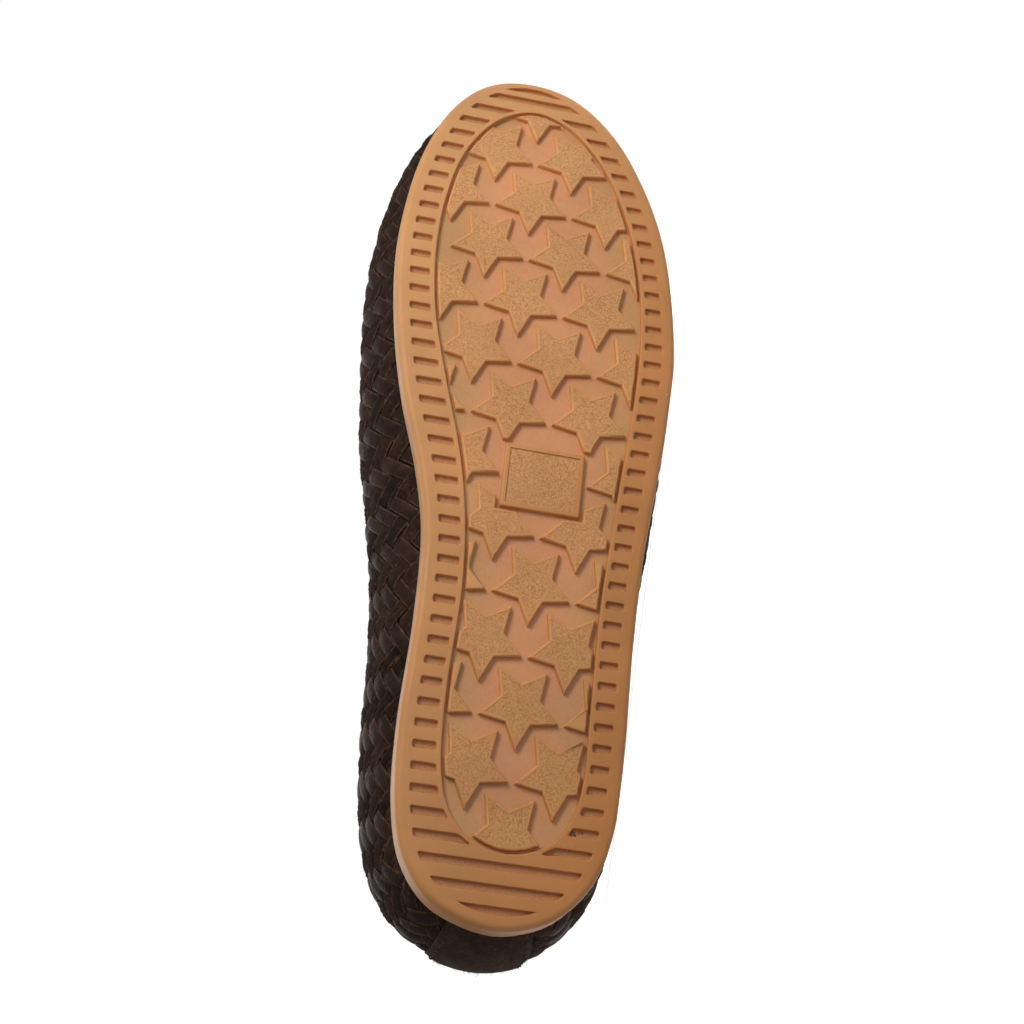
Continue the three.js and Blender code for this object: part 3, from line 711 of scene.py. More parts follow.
class Finish:
    """A node material, built up from texture, ramp, mix and bump nodes."""

    def __init__(self, name, roughness=0.5):
        self.material = bpy.data.materials.new(name)
        self.material.use_nodes = True
        self.tree = self.material.node_tree
        self.shader = self.tree.nodes["Principled BSDF"]
        self.shader.inputs["Roughness"].default_value = roughness
        self.place = self.tree.nodes.new("ShaderNodeTexCoord").outputs["Object"]

    def node(self, kind, **inputs):
        made = self.tree.nodes.new(kind)
        for key, value in inputs.items():
            self.join(value, made.inputs[key.replace("_", " ")])
        return made

    def join(self, value, socket):
        if isinstance(value, bpy.types.NodeSocket):
            self.tree.links.new(value, socket)
        else:
            socket.default_value = value

    def stretch(self, scale, place=None):
        return self.node("ShaderNodeMapping", Vector=place or self.place, Scale=scale).outputs["Vector"]

    def noise(self, scale, detail=3, rough=0.55, place=None):
        made = self.node("ShaderNodeTexNoise", Vector=place or self.place, Scale=scale, Detail=detail)
        made.inputs["Roughness"].default_value = rough
        return made.outputs["Fac"]

    def cells(self, scale, place=None):
        made = self.node("ShaderNodeTexVoronoi", Vector=place or self.place, Scale=scale)
        return made.outputs["Distance"]

    def ramp(self, value, *stops):
        made = self.node("ShaderNodeValToRGB", Fac=value)
        band = made.color_ramp
        while len(band.elements) < len(stops):
            band.elements.new(0.5)
        for element, (position, colour) in zip(band.elements, stops):
            element.position = position
            element.color = colour if isinstance(colour, tuple) else (colour, colour, colour, 1)
        return made.outputs["Color"]

    def mix(self, share, first, second, how="MIX"):
        made = self.tree.nodes.new("ShaderNodeMix")
        made.data_type = "RGBA"
        made.blend_type = how
        self.join(share, made.inputs[0])
        self.join(first, made.inputs[6])
        self.join(second, made.inputs[7])
        return made.outputs[2]

    def sums(self, how, first, second):
        made = self.tree.nodes.new("ShaderNodeMath")
        made.operation = how
        self.join(first, made.inputs[0])
        self.join(second, made.inputs[1])
        return made.outputs[0]

    def near(self, spot, reach):
        """1 close to a place of the frame, fading to 0 at a distance."""
        made = self.tree.nodes.new("ShaderNodeVectorMath")
        made.operation = "DISTANCE"
        self.join(self.place, made.inputs[0])
        made.inputs[1].default_value = spot
        return self.ramp(self.sums("DIVIDE", made.outputs["Value"], reach), (0.55, 1.0), (1.0, 0.0))

    def mark(self, name):
        made = self.tree.nodes.new("ShaderNodeAttribute")
        made.attribute_name = name
        return made.outputs["Fac"]

    def bump(self, height, distance, strength=1.0, under=None):
        made = self.node("ShaderNodeBump", Height=height, Distance=distance, Strength=strength)
        if under is not None:
            self.join(under, made.inputs["Normal"])
        return made.outputs["Normal"]

    def wear(self, colour=None, roughness=None, normal=None, **sockets):
        for socket, value in (("Base Color", colour), ("Roughness", roughness), ("Normal", normal)):
            if value is not None:
                self.join(value, self.shader.inputs[socket])
        for key, value in sockets.items():
            self.shader.inputs[key.replace("_", " ")].default_value = value
        return self.material


def from_middle(look, along, height):
    """How far a place of the well lies from its middle line: 0 there, 1 at its edge."""
    # Heights go through the ramps in decimetres.
    middles, halves = [], []
    for u, inner, outer in WELL_EDGE:
        sides = lay([(u, inner, 0), (u, outer, 0)])
        x, z = (sides[0] + sides[1])[[0, 2]] / 2
        middles.append((float(x / (2 * RUBBER_REACH) + 0.5), float(z * 10)))
        halves.append((middles[-1][0], float((sides[0] - sides[1])[2] * 5)))
    middle = look.sums("MULTIPLY", look.ramp(along, *middles), 0.1)
    half = look.sums("MULTIPLY", look.ramp(along, *halves), 0.1)
    away = look.sums("SUBTRACT", height, middle)
    return look.sums("DIVIDE", look.sums("ABSOLUTE", away, 0.0), half)


def gum_rubber(name, light, dark, speckle=0, grain=0, grain_scale=1500, border=None, grit=(), sides=None):
    """Moulded gum rubber, paler to the toe as painted light, with speckle, grain, border, grit or painted
    edge light and shade where asked.
    """
    look = Finish(name, 0.5)
    parts = look.tree.nodes.new("ShaderNodeSeparateXYZ")
    look.join(look.place, parts.inputs[0])
    reach = look.node("ShaderNodeMapRange", Value=parts.outputs["X"])
    reach.inputs["From Min"].default_value = -RUBBER_REACH
    reach.inputs["From Max"].default_value = RUBBER_REACH
    along = reach.outputs["Result"]
    # Painted light: paler towards the toe and darker towards the heel, as the light falls from the toe end.
    colour = look.mix(along, dark, light)
    if border:
        share = look.ramp(from_middle(look, along, parts.outputs["Z"]), (0.45, 0.0), (0.95, 1.0))
        colour = look.mix(share, colour, border)
    # Painted light and shade: paler on the inner edge, which faces the lamps, and darker on the outer edge.
    if sides:
        across = look.sums("DIVIDE", parts.outputs["Z"], RUBBER_WIDE)
        edges = look.ramp(across, (0.05, sides[0]), (0.95, sides[1]))
        colour = look.mix(1.0, colour, edges, "MULTIPLY")
    cloud = look.ramp(look.noise(38, 4), (0.3, 0.88), (0.7, 1.06))
    colour = look.mix(1.0, colour, cloud, "MULTIPLY")
    normal = look.bump(look.noise(420, 4), 0.00012, 0.5)
    rough = look.ramp(look.noise(90, 3), (0.3, 0.4), (0.75, 0.58))
    if speckle:
        pit = tuple(1 - speckle * part for part in SPECKLE_TINT) + (1,)
        peak = tuple(1 + 0.7 * speckle * part for part in SPECKLE_TINT) + (1,)
        grains = look.noise(grain_scale, 2, 0.6)
        dots = look.ramp(grains, (0.36, pit), (0.5, 1.0), (0.64, peak))
        patchy = look.ramp(look.noise(130, 3), (0.3, 0.5), (0.6, 1.0))
        colour = look.mix(patchy, colour, dots, "MULTIPLY")
    dust = look.ramp(look.cells(170), (0.03, 1.0), (0.055, 0.0))
    dusty = look.ramp(look.noise(45, 2), (0.6, 0.0), (0.66, 0.8))
    colour = look.mix(look.sums("MULTIPLY", dust, dusty), colour, srgb(240, 222, 196))
    for u, v, wide in grit:
        crumbs = look.ramp(look.noise(2300, 2), (0.4, 1.0), (0.56, 0.15))
        spot = look.near(lay((u, v, SLOT_DEPTH)), wide / 1000)
        colour = look.mix(look.sums("MULTIPLY", spot, crumbs), colour, srgb(38, 24, 17))
    if grain:
        normal = look.bump(look.noise(grain_scale, 2, 0.6), grain / 1000, 1.0, normal)
        rough = look.ramp(look.noise(grain_scale, 2), (0.3, 0.5), (0.75, 0.72))
    return look.wear(colour, rough, normal, Specular_IOR_Level=0.3, **GUM_GLOW)


def strip_leather(name, shade, tint, edge, roughness, nap):
    """Woven strip with its own tone, pale cut edges and painted shade where it dips under others: fibres
    along a napped one, creases across others.
    """
    look = Finish(name)
    tone = look.mark("tone")
    colour = look.mix(tone, shade, tint)
    mottle = look.ramp(look.noise(240, 5, 0.6), (0.3, 0.62), (0.7, 1.25))
    colour = look.mix(1.0, colour, mottle, "MULTIPLY")
    apart = look.sums("MULTIPLY", tone, 40.0)
    strip = look.node("ShaderNodeCombineXYZ", X=look.mark("run"), Y=look.mark("side"), Z=apart).outputs[0]
    if nap:
        lines = look.noise(1.5, 5, 0.7, look.stretch((0.25, 1, 1), strip))
        pile = look.ramp(look.noise(1000, 5, 0.75), (0.32, 1 - nap), (0.55, 1.0), (0.7, 1 + 1.6 * nap))
        colour = look.mix(1.0, colour, pile, "MULTIPLY")
    else:
        lines = look.noise(1.1, 4, 0.6, look.stretch((1, 0.3, 1), strip))
    streak = look.ramp(lines, (0.3, 0.7 - nap / 2), (0.7, 1.2 + nap / 2))
    colour = look.mix(1.0, colour, streak, "MULTIPLY")
    scuff = look.ramp(look.noise(700, 4, 0.7), (0.45, 0.0), (0.75, 1.0))
    rim = look.ramp(look.mark("rim"), (0.62, 0.0), (0.95, 1.0))
    colour = look.mix(look.sums("MULTIPLY", rim, look.sums("ADD", scuff, 0.2)), colour, edge)
    # Painted shade: darker where the strip dips under the crossing strips.
    low = look.ramp(look.mark("lie"), (0.25, 0.45), (0.7, 1.0))
    colour = look.mix(1.0, colour, low, "MULTIPLY")
    normal = look.bump(look.cells(1400), 0.00016, 0.5)
    normal = look.bump(lines, 0.0004 + 0.001 * nap, 0.6, normal)
    rough = look.ramp(look.noise(420, 4), (0.3, roughness - 0.1), (0.7, roughness + 0.12))
    return look.wear(colour, rough, normal, Specular_IOR_Level=0.1)


def suede(name, shade, tint, sheen=0.12):
    """Napped suede: cloudy tone, short fibres, soft sheen."""
    look = Finish(name, 0.95)
    cloud = look.ramp(look.noise(150, 5, 0.65), (0.34, shade), (0.66, tint))
    nap = look.ramp(look.noise(1300, 4, 0.7), (0.3, 0.55), (0.7, 1.35))
    colour = look.mix(1.0, cloud, nap, "MULTIPLY")
    normal = look.bump(look.noise(1900, 4, 0.7), 0.0004, 0.8)
    fuzz = {"Sheen_Weight": sheen, "Sheen_Roughness": 0.5, "Sheen_Tint": tint}
    return look.wear(colour, None, normal, Specular_IOR_Level=0.1, **fuzz)


def lining_leather(name, shade, tint, gloss=0.35):
    """Thin smooth lining leather with a fine pore grain."""
    look = Finish(name, 0.62)
    cloud = look.ramp(look.noise(55, 4), (0.3, shade), (0.7, tint))
    pores = look.ramp(look.cells(1100), (0.05, 0.75), (0.35, 1.0))
    colour = look.mix(1.0, cloud, pores, "MULTIPLY")
    normal = look.bump(look.cells(1100), 0.0002, 0.5)
    return look.wear(colour, None, normal, Specular_IOR_Level=gloss)


def waxed_thread(name, shade, tint):
    look = Finish(name, 0.75)
    ply = look.ramp(look.noise(1300, 3), (0.35, shade), (0.65, tint))
    return look.wear(ply, None, look.bump(look.noise(2600, 2), 0.0002, 0.6), Specular_IOR_Level=0.12)


def aged_brass(name):
    look = Finish(name, 0.35)
    tarnish = look.ramp(look.noise(500, 5, 0.6), (0.35, srgb(96, 74, 46)), (0.7, srgb(168, 138, 88)))
    rough = look.ramp(look.noise(900, 4), (0.3, 0.28), (0.7, 0.5))
    normal = look.bump(look.noise(1500, 3), 0.0001, 0.4)
    return look.wear(tarnish, rough, normal, Metallic=1.0)


GUM = gum_rubber("gum rubber", srgb(222, 157, 98), srgb(206, 139, 79), sides=GUM_SIDE_LIGHT_AND_SHADE)
GUM_STAR = gum_rubber("gum rubber, pebbled", srgb(224, 164, 106), srgb(210, 148, 89), 0.23, 0.26, 1900)
GUM_RIM = gum_rubber("gum rubber, star rims", srgb(230, 170, 109), srgb(214, 151, 88))
GUM_WELL = gum_rubber(
    "gum rubber, well floor", srgb(230, 164, 115), srgb(214, 151, 103), 0.04, border=srgb(206, 156, 102)
)
GUM_SLOT = gum_rubber(
    "gum rubber, slot floor", srgb(202, 144, 93), srgb(198, 138, 89), 0.1, 0.1, 1900, grit=GRIT
)
CALF = strip_leather(
    "smooth strip leather", srgb(40, 25, 18), srgb(57, 38, 28), srgb(104, 78, 61), 0.58, 0.0
)
NUBUCK = strip_leather(
    "brushed strip leather", srgb(42, 28, 21), srgb(64, 45, 34), srgb(110, 84, 65), 0.9, 0.4
)
SUEDE = suede("brown suede", srgb(57, 42, 33), srgb(84, 63, 50))
LINING = lining_leather("lining leather", srgb(92, 66, 47), srgb(116, 86, 62))
FOOTBED = lining_leather("footbed leather", srgb(98, 70, 49), srgb(126, 94, 68))
THREAD = waxed_thread("waxed thread", srgb(46, 34, 27), srgb(70, 53, 42))
LACE = lining_leather("lace leather", srgb(60, 41, 29), srgb(88, 63, 45), 0.15)
FIBRE = waxed_thread("loose fibre", srgb(52, 37, 28), srgb(84, 63, 48))
BRASS = aged_brass("aged brass")


# Outsole

def level_ring(loop, height):
    """An edge at a height, in metres."""
    return np.column_stack([loop, np.full(len(loop), height)]) / 1000


def upright(name, loop, low, high):
    """A solid with an edge's outline between two heights."""
    return stack_rings(name, [level_ring(loop, low), level_ring(loop, high)])


def side_rings(count):
    """Rings of the sole from the ground up while it is still flat, with its outer edge rolled."""
    loop, out = edge_loop(SOLE_EDGE, SOLE_ENDS, count)
    profile = []
    for turn in np.linspace(0, math.pi / 2, 7):
        profile.append((ROLL_INSET * (1 - math.sin(turn)), ROLL_HEIGHT * (1 - math.cos(turn))))
    for turn in np.linspace(0, math.pi / 2, 4):
        profile.append((TOP_INSET * (1 - math.cos(turn)), SOLE_HEEL - TOP_HEIGHT * (1 - math.sin(turn))))
    return [level_ring(loop - out * inset, height) for inset, height in profile]


def star_solids(size, low, high):
    """One star, modelled once between two heights and copied over its rows."""
    deselect()
    bpy.ops.mesh.primitive_circle_add(vertices=10, radius=size * STAR_RADIUS / 1000, fill_type="NGON")
    star = bpy.context.object
    bpy.ops.object.mode_set(mode="EDIT")
    bpy.ops.mesh.select_all(action="DESELECT")
    edit = bmesh.from_edit_mesh(star.data)
    for vert in edit.verts:
        vert.select = vert.index % 2 == 1
    edit.select_flush_mode()
    bmesh.update_edit_mesh(star.data)
    bpy.ops.transform.resize(value=(STAR_WAIST, STAR_WAIST, 1), center_override=(0, 0, 0))
    bpy.ops.mesh.select_all(action="SELECT")
    bpy.ops.transform.resize(value=(1, STAR_STRETCH, 1), center_override=(0, 0, 0))
    bpy.ops.mesh.extrude_region_move(TRANSFORM_OT_translate={"value": (0, 0, (high - low) / 1000)})
    bpy.ops.mesh.select_all(action="SELECT")
    bpy.ops.transform.translate(value=(0, 0, low / 1000))
    bpy.ops.mesh.normals_make_consistent(inside=False)
    bpy.ops.object.mode_set(mode="OBJECT")
    # The first tip of the circle points along +Y, and the star's single tip points to the heel.
    for vert in star.data.vertices:
        vert.co = (-vert.co.y, vert.co.x, vert.co.z)
    renumber(star)
    pieces = []
    for row in range(-2, 12):
        for column in range(-4, 5):
            centre = (ROW_ZERO - row * ROW_PITCH, column * STAR_PITCH / 2)
            if (column - row) % 2 or math.dist(centre, PLAQUE_CENTRE) < STAR_RADIUS / 2:
                continue
            copy = copy_of(star)
            shift = Vector((*centre, 0)) / 1000
            for vert in copy.data.vertices:
                vert.co += shift
            pieces.append(copy)
    bpy.data.objects.remove(star)
    return joined(pieces, "stars")


def without_slivers(stars, tall, least):
    """Drops what the edge of the well leaves of a star when it is too small to mould."""
    edit_whole(stars, (bpy.ops.mesh.separate, {"type": "LOOSE"}))
    kept = []
    for piece in list(bpy.context.selected_objects):
        solid = bmesh.new()
        solid.from_mesh(piece.data)
        area = abs(solid.calc_volume()) * 1e9 / tall
        solid.free()
        if area > least:
            kept.append(piece)
        else:
            bpy.data.objects.remove(piece)
    return joined(kept, "stars")


def plate(grow, high=PLATE_REACH):
    """A block over the plaque, grown by a margin, that reaches a height into the sole."""
    low = -PLATE_REACH
    size = [(side + 2 * grow) / 1000 for side in PLAQUE_SIZE]
    centre = [place / 1000 for place in PLAQUE_CENTRE]
    deselect()
    bpy.ops.mesh.primitive_cube_add(
        size=1, scale=(*size, (high - low) / 1000), location=(*centre, (high + low) / 2000)
    )
    bpy.ops.object.transform_apply(location=True, rotation=True, scale=True)
    return bpy.context.object


def moulded_stars(well_loop, well_out, size, rim, high, least):
    """Stars up to a height, clipped to the well and to the plaque's margin with a rim left all round."""
    stars = star_solids(size, CUT_LOW, high)
    clip = well_loop - well_out * (STAR_CLEARANCE + rim)
    carve(stars, upright("clip", clip, -CLIP_REACH, CLIP_REACH), "INTERSECT")
    carve(stars, plate(PLAQUE_GAP + rim))
    return without_slivers(stars, high - CUT_LOW, least)


def slot_corners():
    """Corners of the slots round the rim: straight across the shoe, between its edge and the well."""
    rim_loop, rim_out = edge_loop(SOLE_EDGE, SOLE_ENDS, 240)
    well_loop, well_out = edge_loop(WELL_EDGE, WELL_ENDS, 240)
    rim = rim_loop - rim_out * SLOT_OUTER_INSET
    well = well_loop + well_out * SLOT_INNER_GAP
    corners = []
    for k in range(-40, 10):
        lines = [ROW_ZERO + (k + 0.5) * ROW_PITCH / 3 + side * SLOT_WIDTH / 2 for side in (-1, 1)]
        if lines[0] < rim[:, 0].min() or lines[1] > rim[:, 0].max():
            continue
        edge = [sides_at(rim, u) for u in lines]
        in_well = [well[:, 0].min() < u < well[:, 0].max() for u in lines]
        reaches = []
        if all(in_well):
            hole = [sides_at(well, u) for u in lines]
            reaches = [(edge[0][s], hole[0][s], hole[1][s], edge[1][s]) for s in (0, 1)]
        elif not any(in_well):
            reaches = [(*edge[0], *edge[1][::-1])]
        for reach in reaches:
            corners.append(list(zip((lines[0], lines[0], lines[1], lines[1]), reach)))
    return corners


def slot_solids():
    """Blocks with round corners that cut the slots."""
    deselect()
    bpy.ops.mesh.primitive_cube_add(size=1)
    block = bpy.context.object
    pieces = []
    for corners in slot_corners():
        centre = np.mean(corners, 0)
        turns = [math.atan2(v - centre[1], u - centre[0]) for u, v in corners]
        copy = copy_of(block)
        order = [corners[k] for k in np.argsort(turns)]
        for vert in copy.data.vertices:
            quarter = int(((math.atan2(vert.co.y, vert.co.x) + math.pi) / (math.pi / 2))) % 4
            u, v = order[quarter]
            vert.co = Vector((u, v, SLOT_DEPTH if vert.co.z > 0 else CUT_LOW)) / 1000
        pieces.append(copy)
    bpy.data.objects.remove(block)
    slots = joined(pieces, "slots")
    choose(slots)
    bpy.ops.object.mode_set(mode="EDIT")
    bpy.ops.mesh.select_all(action="SELECT")
    bpy.ops.mesh.normals_make_consistent(inside=False)
    bpy.ops.mesh.select_all(action="DESELECT")
    bpy.ops.mesh.select_mode(type="EDGE")
    edit = bmesh.from_edit_mesh(slots.data)
    for edge in edit.edges:
        low, high = (vert.co for vert in edge.verts)
        edge.select = (low - high).to_2d().length < 1e-6
    bmesh.update_edit_mesh(slots.data)
    bpy.ops.mesh.bevel(offset=SLOT_ROUND / 1000, segments=3, affect="EDGES")
    bpy.ops.object.mode_set(mode="OBJECT")
    ends = []
    for u, v, half, deep in END_SLOTS:
        share = np.linspace(-1, 1, 15)
        lens = np.column_stack([u + deep * (1 - share**2), v + half * share])
        ends.append(upright("end slot", lens, CUT_LOW, SLOT_DEPTH))
    return joined([slots] + ends, "slots")


def inside_loop(loop, u, v):
    inner, outer = sides_at(loop, u)
    return (u > loop[:, 0].min()) & (u < loop[:, 0].max()) & (v > inner) & (v < outer)


def round_edges(sole, well):
    """Rounds the moulding's edges: stars most, the rim less, and the foot of each wall least."""
    solid = bmesh.new()
    solid.from_mesh(sole.data)
    solid.normal_update()
    weight = solid.edges.layers.float.new("bevel_weight_edge")
    for edge in solid.edges:
        if len(edge.link_faces) != 2 or edge.calc_face_angle() < SHARP_TURN:
            continue
        low, high = (vert.co for vert in edge.verts)
        u, v = (low + high).to_2d() / 2 * 1000
        walls = [face for face in edge.link_faces if abs(face.normal.z) < 0.5]
        if any(max(vert.co.z for vert in wall.verts) * 1000 < SHALLOW for wall in walls):
            continue
        if not edge.is_convex:
            edge[weight] = FOOT_ROUND / STAR_ROUND
        elif inside_loop(well, u, v) and abs(low.z - high.z) < 1e-5:
            edge[weight] = 1
        else:
            edge[weight] = EDGE_ROUND / STAR_ROUND
    solid.to_mesh(sole.data)
    solid.free()
    width = STAR_ROUND / 1000
    modify(sole, "BEVEL", width=width, segments=2, limit_method="WEIGHT", use_clamp_overlap=False)


def outsole():
    """Gum sole: a flat moulding with a sunken well, stars, slots and a plaque, bent to its toe spring."""
    sole = stack_rings("gum_outsole", side_rings(220))
    well_loop, well_out = edge_loop(WELL_EDGE, WELL_ENDS, 180)
    pocket = upright("well", well_loop, CUT_LOW, TREAD_DEPTH)
    carve(pocket, moulded_stars(well_loop, well_out, 1, 0, -CUT_LOW, STAR_LEAST_AREA))
    carve(pocket, plate(0))
    carve(sole, pocket)
    fields = moulded_stars(well_loop, well_out, FIELD_SHARE, FIELD_RIM, FIELD_DEPTH, FIELD_LEAST_AREA)
    carve(sole, fields)
    carve(sole, plate(-PLAQUE_FRAME, PLAQUE_SUNK))
    carve(sole, slot_solids())
    flat_faces = (bpy.ops.mesh.dissolve_limited, {"angle_limit": math.radians(0.5)})
    edit_whole(sole, merge_near(SOLE_MERGE), flat_faces)
    inner_well = well_loop - well_out * WELL_SHRINK
    round_edges(sole, inner_well)
    slice_across(sole)
    faces = sole.data.polygons
    centre = np.array([face.center for face in faces]) * 1000
    facing = np.array([face.normal[2] for face in faces])
    plaque = np.all(np.abs(centre[:, :2] - PLAQUE_CENTRE) < np.array(PLAQUE_SIZE) / 2 + PLAQUE_SLACK, 1)
    in_well = inside_loop(inner_well, centre[:, 0], centre[:, 1])
    down = facing < FACING_DOWN
    level = centre[:, 2]
    star = in_well & ~plaque & (level < STAR_ROUND)
    finish = np.zeros(len(faces), int)
    looks = [GUM, GUM_STAR, GUM_WELL, GUM_SLOT, GUM_RIM]
    finish[star & (facing < FACING_HALF_DOWN)] = looks.index(GUM_RIM)
    finish[star & down & (np.abs(level - FIELD_DEPTH) < FIELD_SLACK)] = looks.index(GUM_STAR)
    finish[plaque & down & (np.abs(level - PLAQUE_SUNK) < FIELD_SLACK)] = looks.index(GUM_STAR)
    finish[down & in_well & (np.abs(level - TREAD_DEPTH) < LEVEL_SLACK)] = looks.index(GUM_WELL)
    finish[down & ~in_well & (np.abs(level - SLOT_DEPTH) < LEVEL_SLACK)] = looks.index(GUM_SLOT)
    u, v, w = places_of(sole).T
    share = (sole_thick(u) - BEND_ABOVE) / (SOLE_HEEL - BEND_ABOVE)
    w = np.where(w > BEND_ABOVE, BEND_ABOVE + (w - BEND_ABOVE) * share, w) + lift(u)
    set_places(sole, lay(np.stack([u, v, w], -1)))
    fit_up(sole, "gum_rubber", looks, "outsole", shade=50)
    faces.foreach_set("material_index", finish)
    modify(sole, "WEIGHTED_NORMAL", keep_sharp=True)


# Woven band

def weave_height(x):
    """Height of a strip over two and under two crossings, from 1 to -1."""
    wave = np.sin(np.pi * x / 2)
    return np.sign(wave) * np.abs(wave) ** 0.6


fibre_roots = []


def woven_strips(name, rising, material, seed, ragged, lumps, fuzz):
    """All strips that run one way round the shoe, each a closed ribbon over two and under two others."""
    luck = np.random.RandomState(seed)
    steps = WEAVE_ROWS * WEAVE_STEPS
    t = np.linspace(0, WEAVE_ROWS, steps + 1)
    across, drop, rim = np.array(STRIP_SECTION).T
    across = across * STRIP_HALF
    crown = 1 - (across / STRIP_HALF) ** 2
    sides = len(across)
    places, faces = [], []
    marks = {"tone": [], "rim": [], "lie": [], "run": [], "side": []}
    for k in range(WEAVE_COLUMNS // 2):
        width = 1 + 0.05 * luck.uniform(-1, 1)
        width = width + 0.035 * np.sin(t * luck.uniform(0.5, 1.1) + luck.uniform(0, 6))
        sway = 0.03 * np.sin(t * luck.uniform(0.3, 0.8) + luck.uniform(0, 6))
        s = across[None, :] * width[:, None] + sway[:, None]
        fray = ragged * np.clip(luck.standard_normal((steps + 1, 2)), -2, 2)
        s[:, :2] -= fray[:, :1]
        s[:, -2:] += fray[:, 1:]
        line = k + 0.5
        if rising:
            a = line + t[:, None] + 0 * s
            b = line + s
            x = line - 0.5 + a
        else:
            a = line + s
            b = line - t[:, None] + 0 * s
            x = line - 0.5 + b
        wave = weave_height(x) * (1 if rising else -1) + 0 * s
        row = np.clip(a - b, 0, WEAVE_ROWS) / WEAVE_ROWS
        column = (a + b) * COLUMNS / WEAVE_COLUMNS
        height = STRIP_SEAT + STRIP_WAVE * wave + STRIP_CROWN * crown - STRIP_THICK * drop
        height += 0.06 * luck.uniform(-1, 1) + lumps * np.clip(luck.standard_normal(s.shape), -2, 2)
        spots = on_skin(column, row, height)
        faces += wrap_faces(len(places) * spots[..., 0].size, steps + 1, sides)
        places.append(spots.reshape(-1, 3))
        marks["tone"].append(np.full(spots.shape[:2], luck.uniform(0, 1)))
        marks["rim"].append(np.broadcast_to(rim, spots.shape[:2]))
        # Where the strip lies, 0 under a crossing and 1 over it, for the painted shade in the dips.
        marks["lie"].append(0.5 + 0.5 * wave)
        marks["run"].append(np.broadcast_to(t[:, None] * CROSSING_MM, spots.shape[:2]))
        marks["side"].append(s * CROSSING_MM)
        for step, edge in zip(luck.randint(2, steps - 1, fuzz), luck.choice([1, sides - 2], fuzz)):
            if wave[step, edge] > 0.3:
                outward = on_skin(column[step, edge], row[step, edge], height[step, edge] + 1.0)
                fibre_roots.append((spots[step, edge], outward - spots[step, edge]))
    strips = piece_from(name, lay(np.vstack(places)).tolist(), faces)
    for key, values in marks.items():
        mark = strips.data.attributes.new(key, "FLOAT", "POINT")
        mark.data.foreach_set("value", np.concatenate(values).ravel())
    fit_up(strips, "woven_leather", material, "upper")


def loose_fibres():
    """Short hairs that stand off the napped strips and the heel patch."""
    luck = np.random.RandomState(3)
    paths = []
    for root, outward in fibre_roots:
        lean = outward * luck.uniform(0.3, 0.9) + luck.uniform(-0.8, 0.8, 3)
        lean /= np.linalg.norm(lean)
        curl = luck.uniform(-0.5, 0.5, 3)
        reach = luck.uniform(0.4, 1.3) * np.linspace(-0.15, 1, 5)[:, None]
        path = root + lean * reach + curl * reach * np.abs(reach) * 0.4
        if lay(path)[:, 2].min() > FIBRE_FLOOR:
            paths.append(path)
    fit_up(tubes("loose_fibres", paths, FIBRE_TAPER, 3), "woven_leather", FIBRE)


# Rest of the upper

def lining():
    """Thin leather inside the whole wall."""
    sheet = laid_grid("lining", (0, COLUMNS), (0, 2), (168, 22), LINING_OUTSET)
    edit_whole(sheet, merge_near(SHEET_MERGE))
    thicken(sheet, LINING_THICK)
    fit_up(sheet, "lining", LINING, "upper")


def apron():
    """Plain suede panel over the toes, from the raised seam back to the throat."""

    def crown(column, row):
        return 0.25 + 0.35 * np.sin(np.pi * np.clip(row - 1, 0, 1))

    panel = laid_grid("apron", (FRONT_OF_APRON, COLUMNS - FRONT_OF_APRON), (1, 2), (110, 24), crown)
    thicken(panel, APRON_THICK)
    fit_up(panel, "suede", SUEDE, "upper", shade=50)


def collar():
    """Suede band round the heel and sides to the eyelets, turned over the edge of the opening."""
    rows, outsets = np.array(COLLAR_SECTION).T
    columns = np.linspace(-FRONT_OF_COLLAR, FRONT_OF_COLLAR, 190)
    band = stack_rings("collar_band", [lay(on_skin(column, rows, outsets)) for column in columns])
    fit_up(band, "suede", SUEDE, "upper", shade=50)


def binding():
    """Rolled suede edge all round the opening."""
    columns = np.linspace(0, COLUMNS, COLUMNS * 2, endpoint=False)
    edge = on_skin(columns, 2, -0.55)
    outward, upward = out_at(columns, 2), up_at(columns, 2)
    rings = []
    for turn in np.linspace(0, 2 * math.pi, 14, endpoint=False):
        out = outward * math.cos(turn) * (ROLL_RADIUS + 0.5)
        rings.append(lay(edge + out + upward * math.sin(turn) * ROLL_RADIUS * 0.8))
    roll = stack_rings("opening_binding", rings, capped=False)
    fit_up(roll, "suede", SUEDE, "upper")


def moc_seam():
    """Raised seam round the toe with its edges gathered between hand stitches."""
    columns = np.linspace(SEAM_START, COLUMNS - SEAM_START, 420)
    path = on_skin(columns, 1, SEAM_OUTSET)
    run = run_along(path)
    pitch = run[-1] / round(run[-1] / SEAM_PITCH)
    gather = np.abs(np.sin(np.pi * run / pitch))
    ridge = stack_rings("moc_seam", tube_rings(path, SEAM_RADIUS * (0.82 + 0.22 * gather), 12))
    fit_up(ridge, "suede", SUEDE, "upper")
    turn = np.radians(np.linspace(-15, 195, 9))[:, None]
    paths = []
    for place in np.arange(pitch, run[-1] - pitch / 2, pitch):
        column = np.interp(place, run, columns)
        arch = np.sin(turn) * out_at(column, 1) + np.cos(turn) * up_at(column, 1)
        paths.append(on_skin(column, 1, SEAM_OUTSET) + SEAM_STITCH_REACH * arch)
    fit_up(tubes("moc_stitches", paths, SEAM_STITCH_RADIUS), "suede", THREAD)


def stitch_paths(columns, rows, outset, share=0.7, dip=0.5):
    """Short arched paths, one for each stitch along a line on the wall."""
    line = on_skin(columns, rows, outset)
    outward = on_skin(columns, rows, outset + 1) - line
    run = run_along(line)
    step = np.linspace(0, 1, 6)
    sink = -dip * ((2 * step - 1) ** 2)[:, None]
    paths = []
    for start in np.arange(0, run[-1] - STITCH_PITCH, STITCH_PITCH):
        want = start + STITCH_PITCH * share * step
        paths.append(part_way(line, run, want) + part_way(outward, run, want) * sink)
    return paths


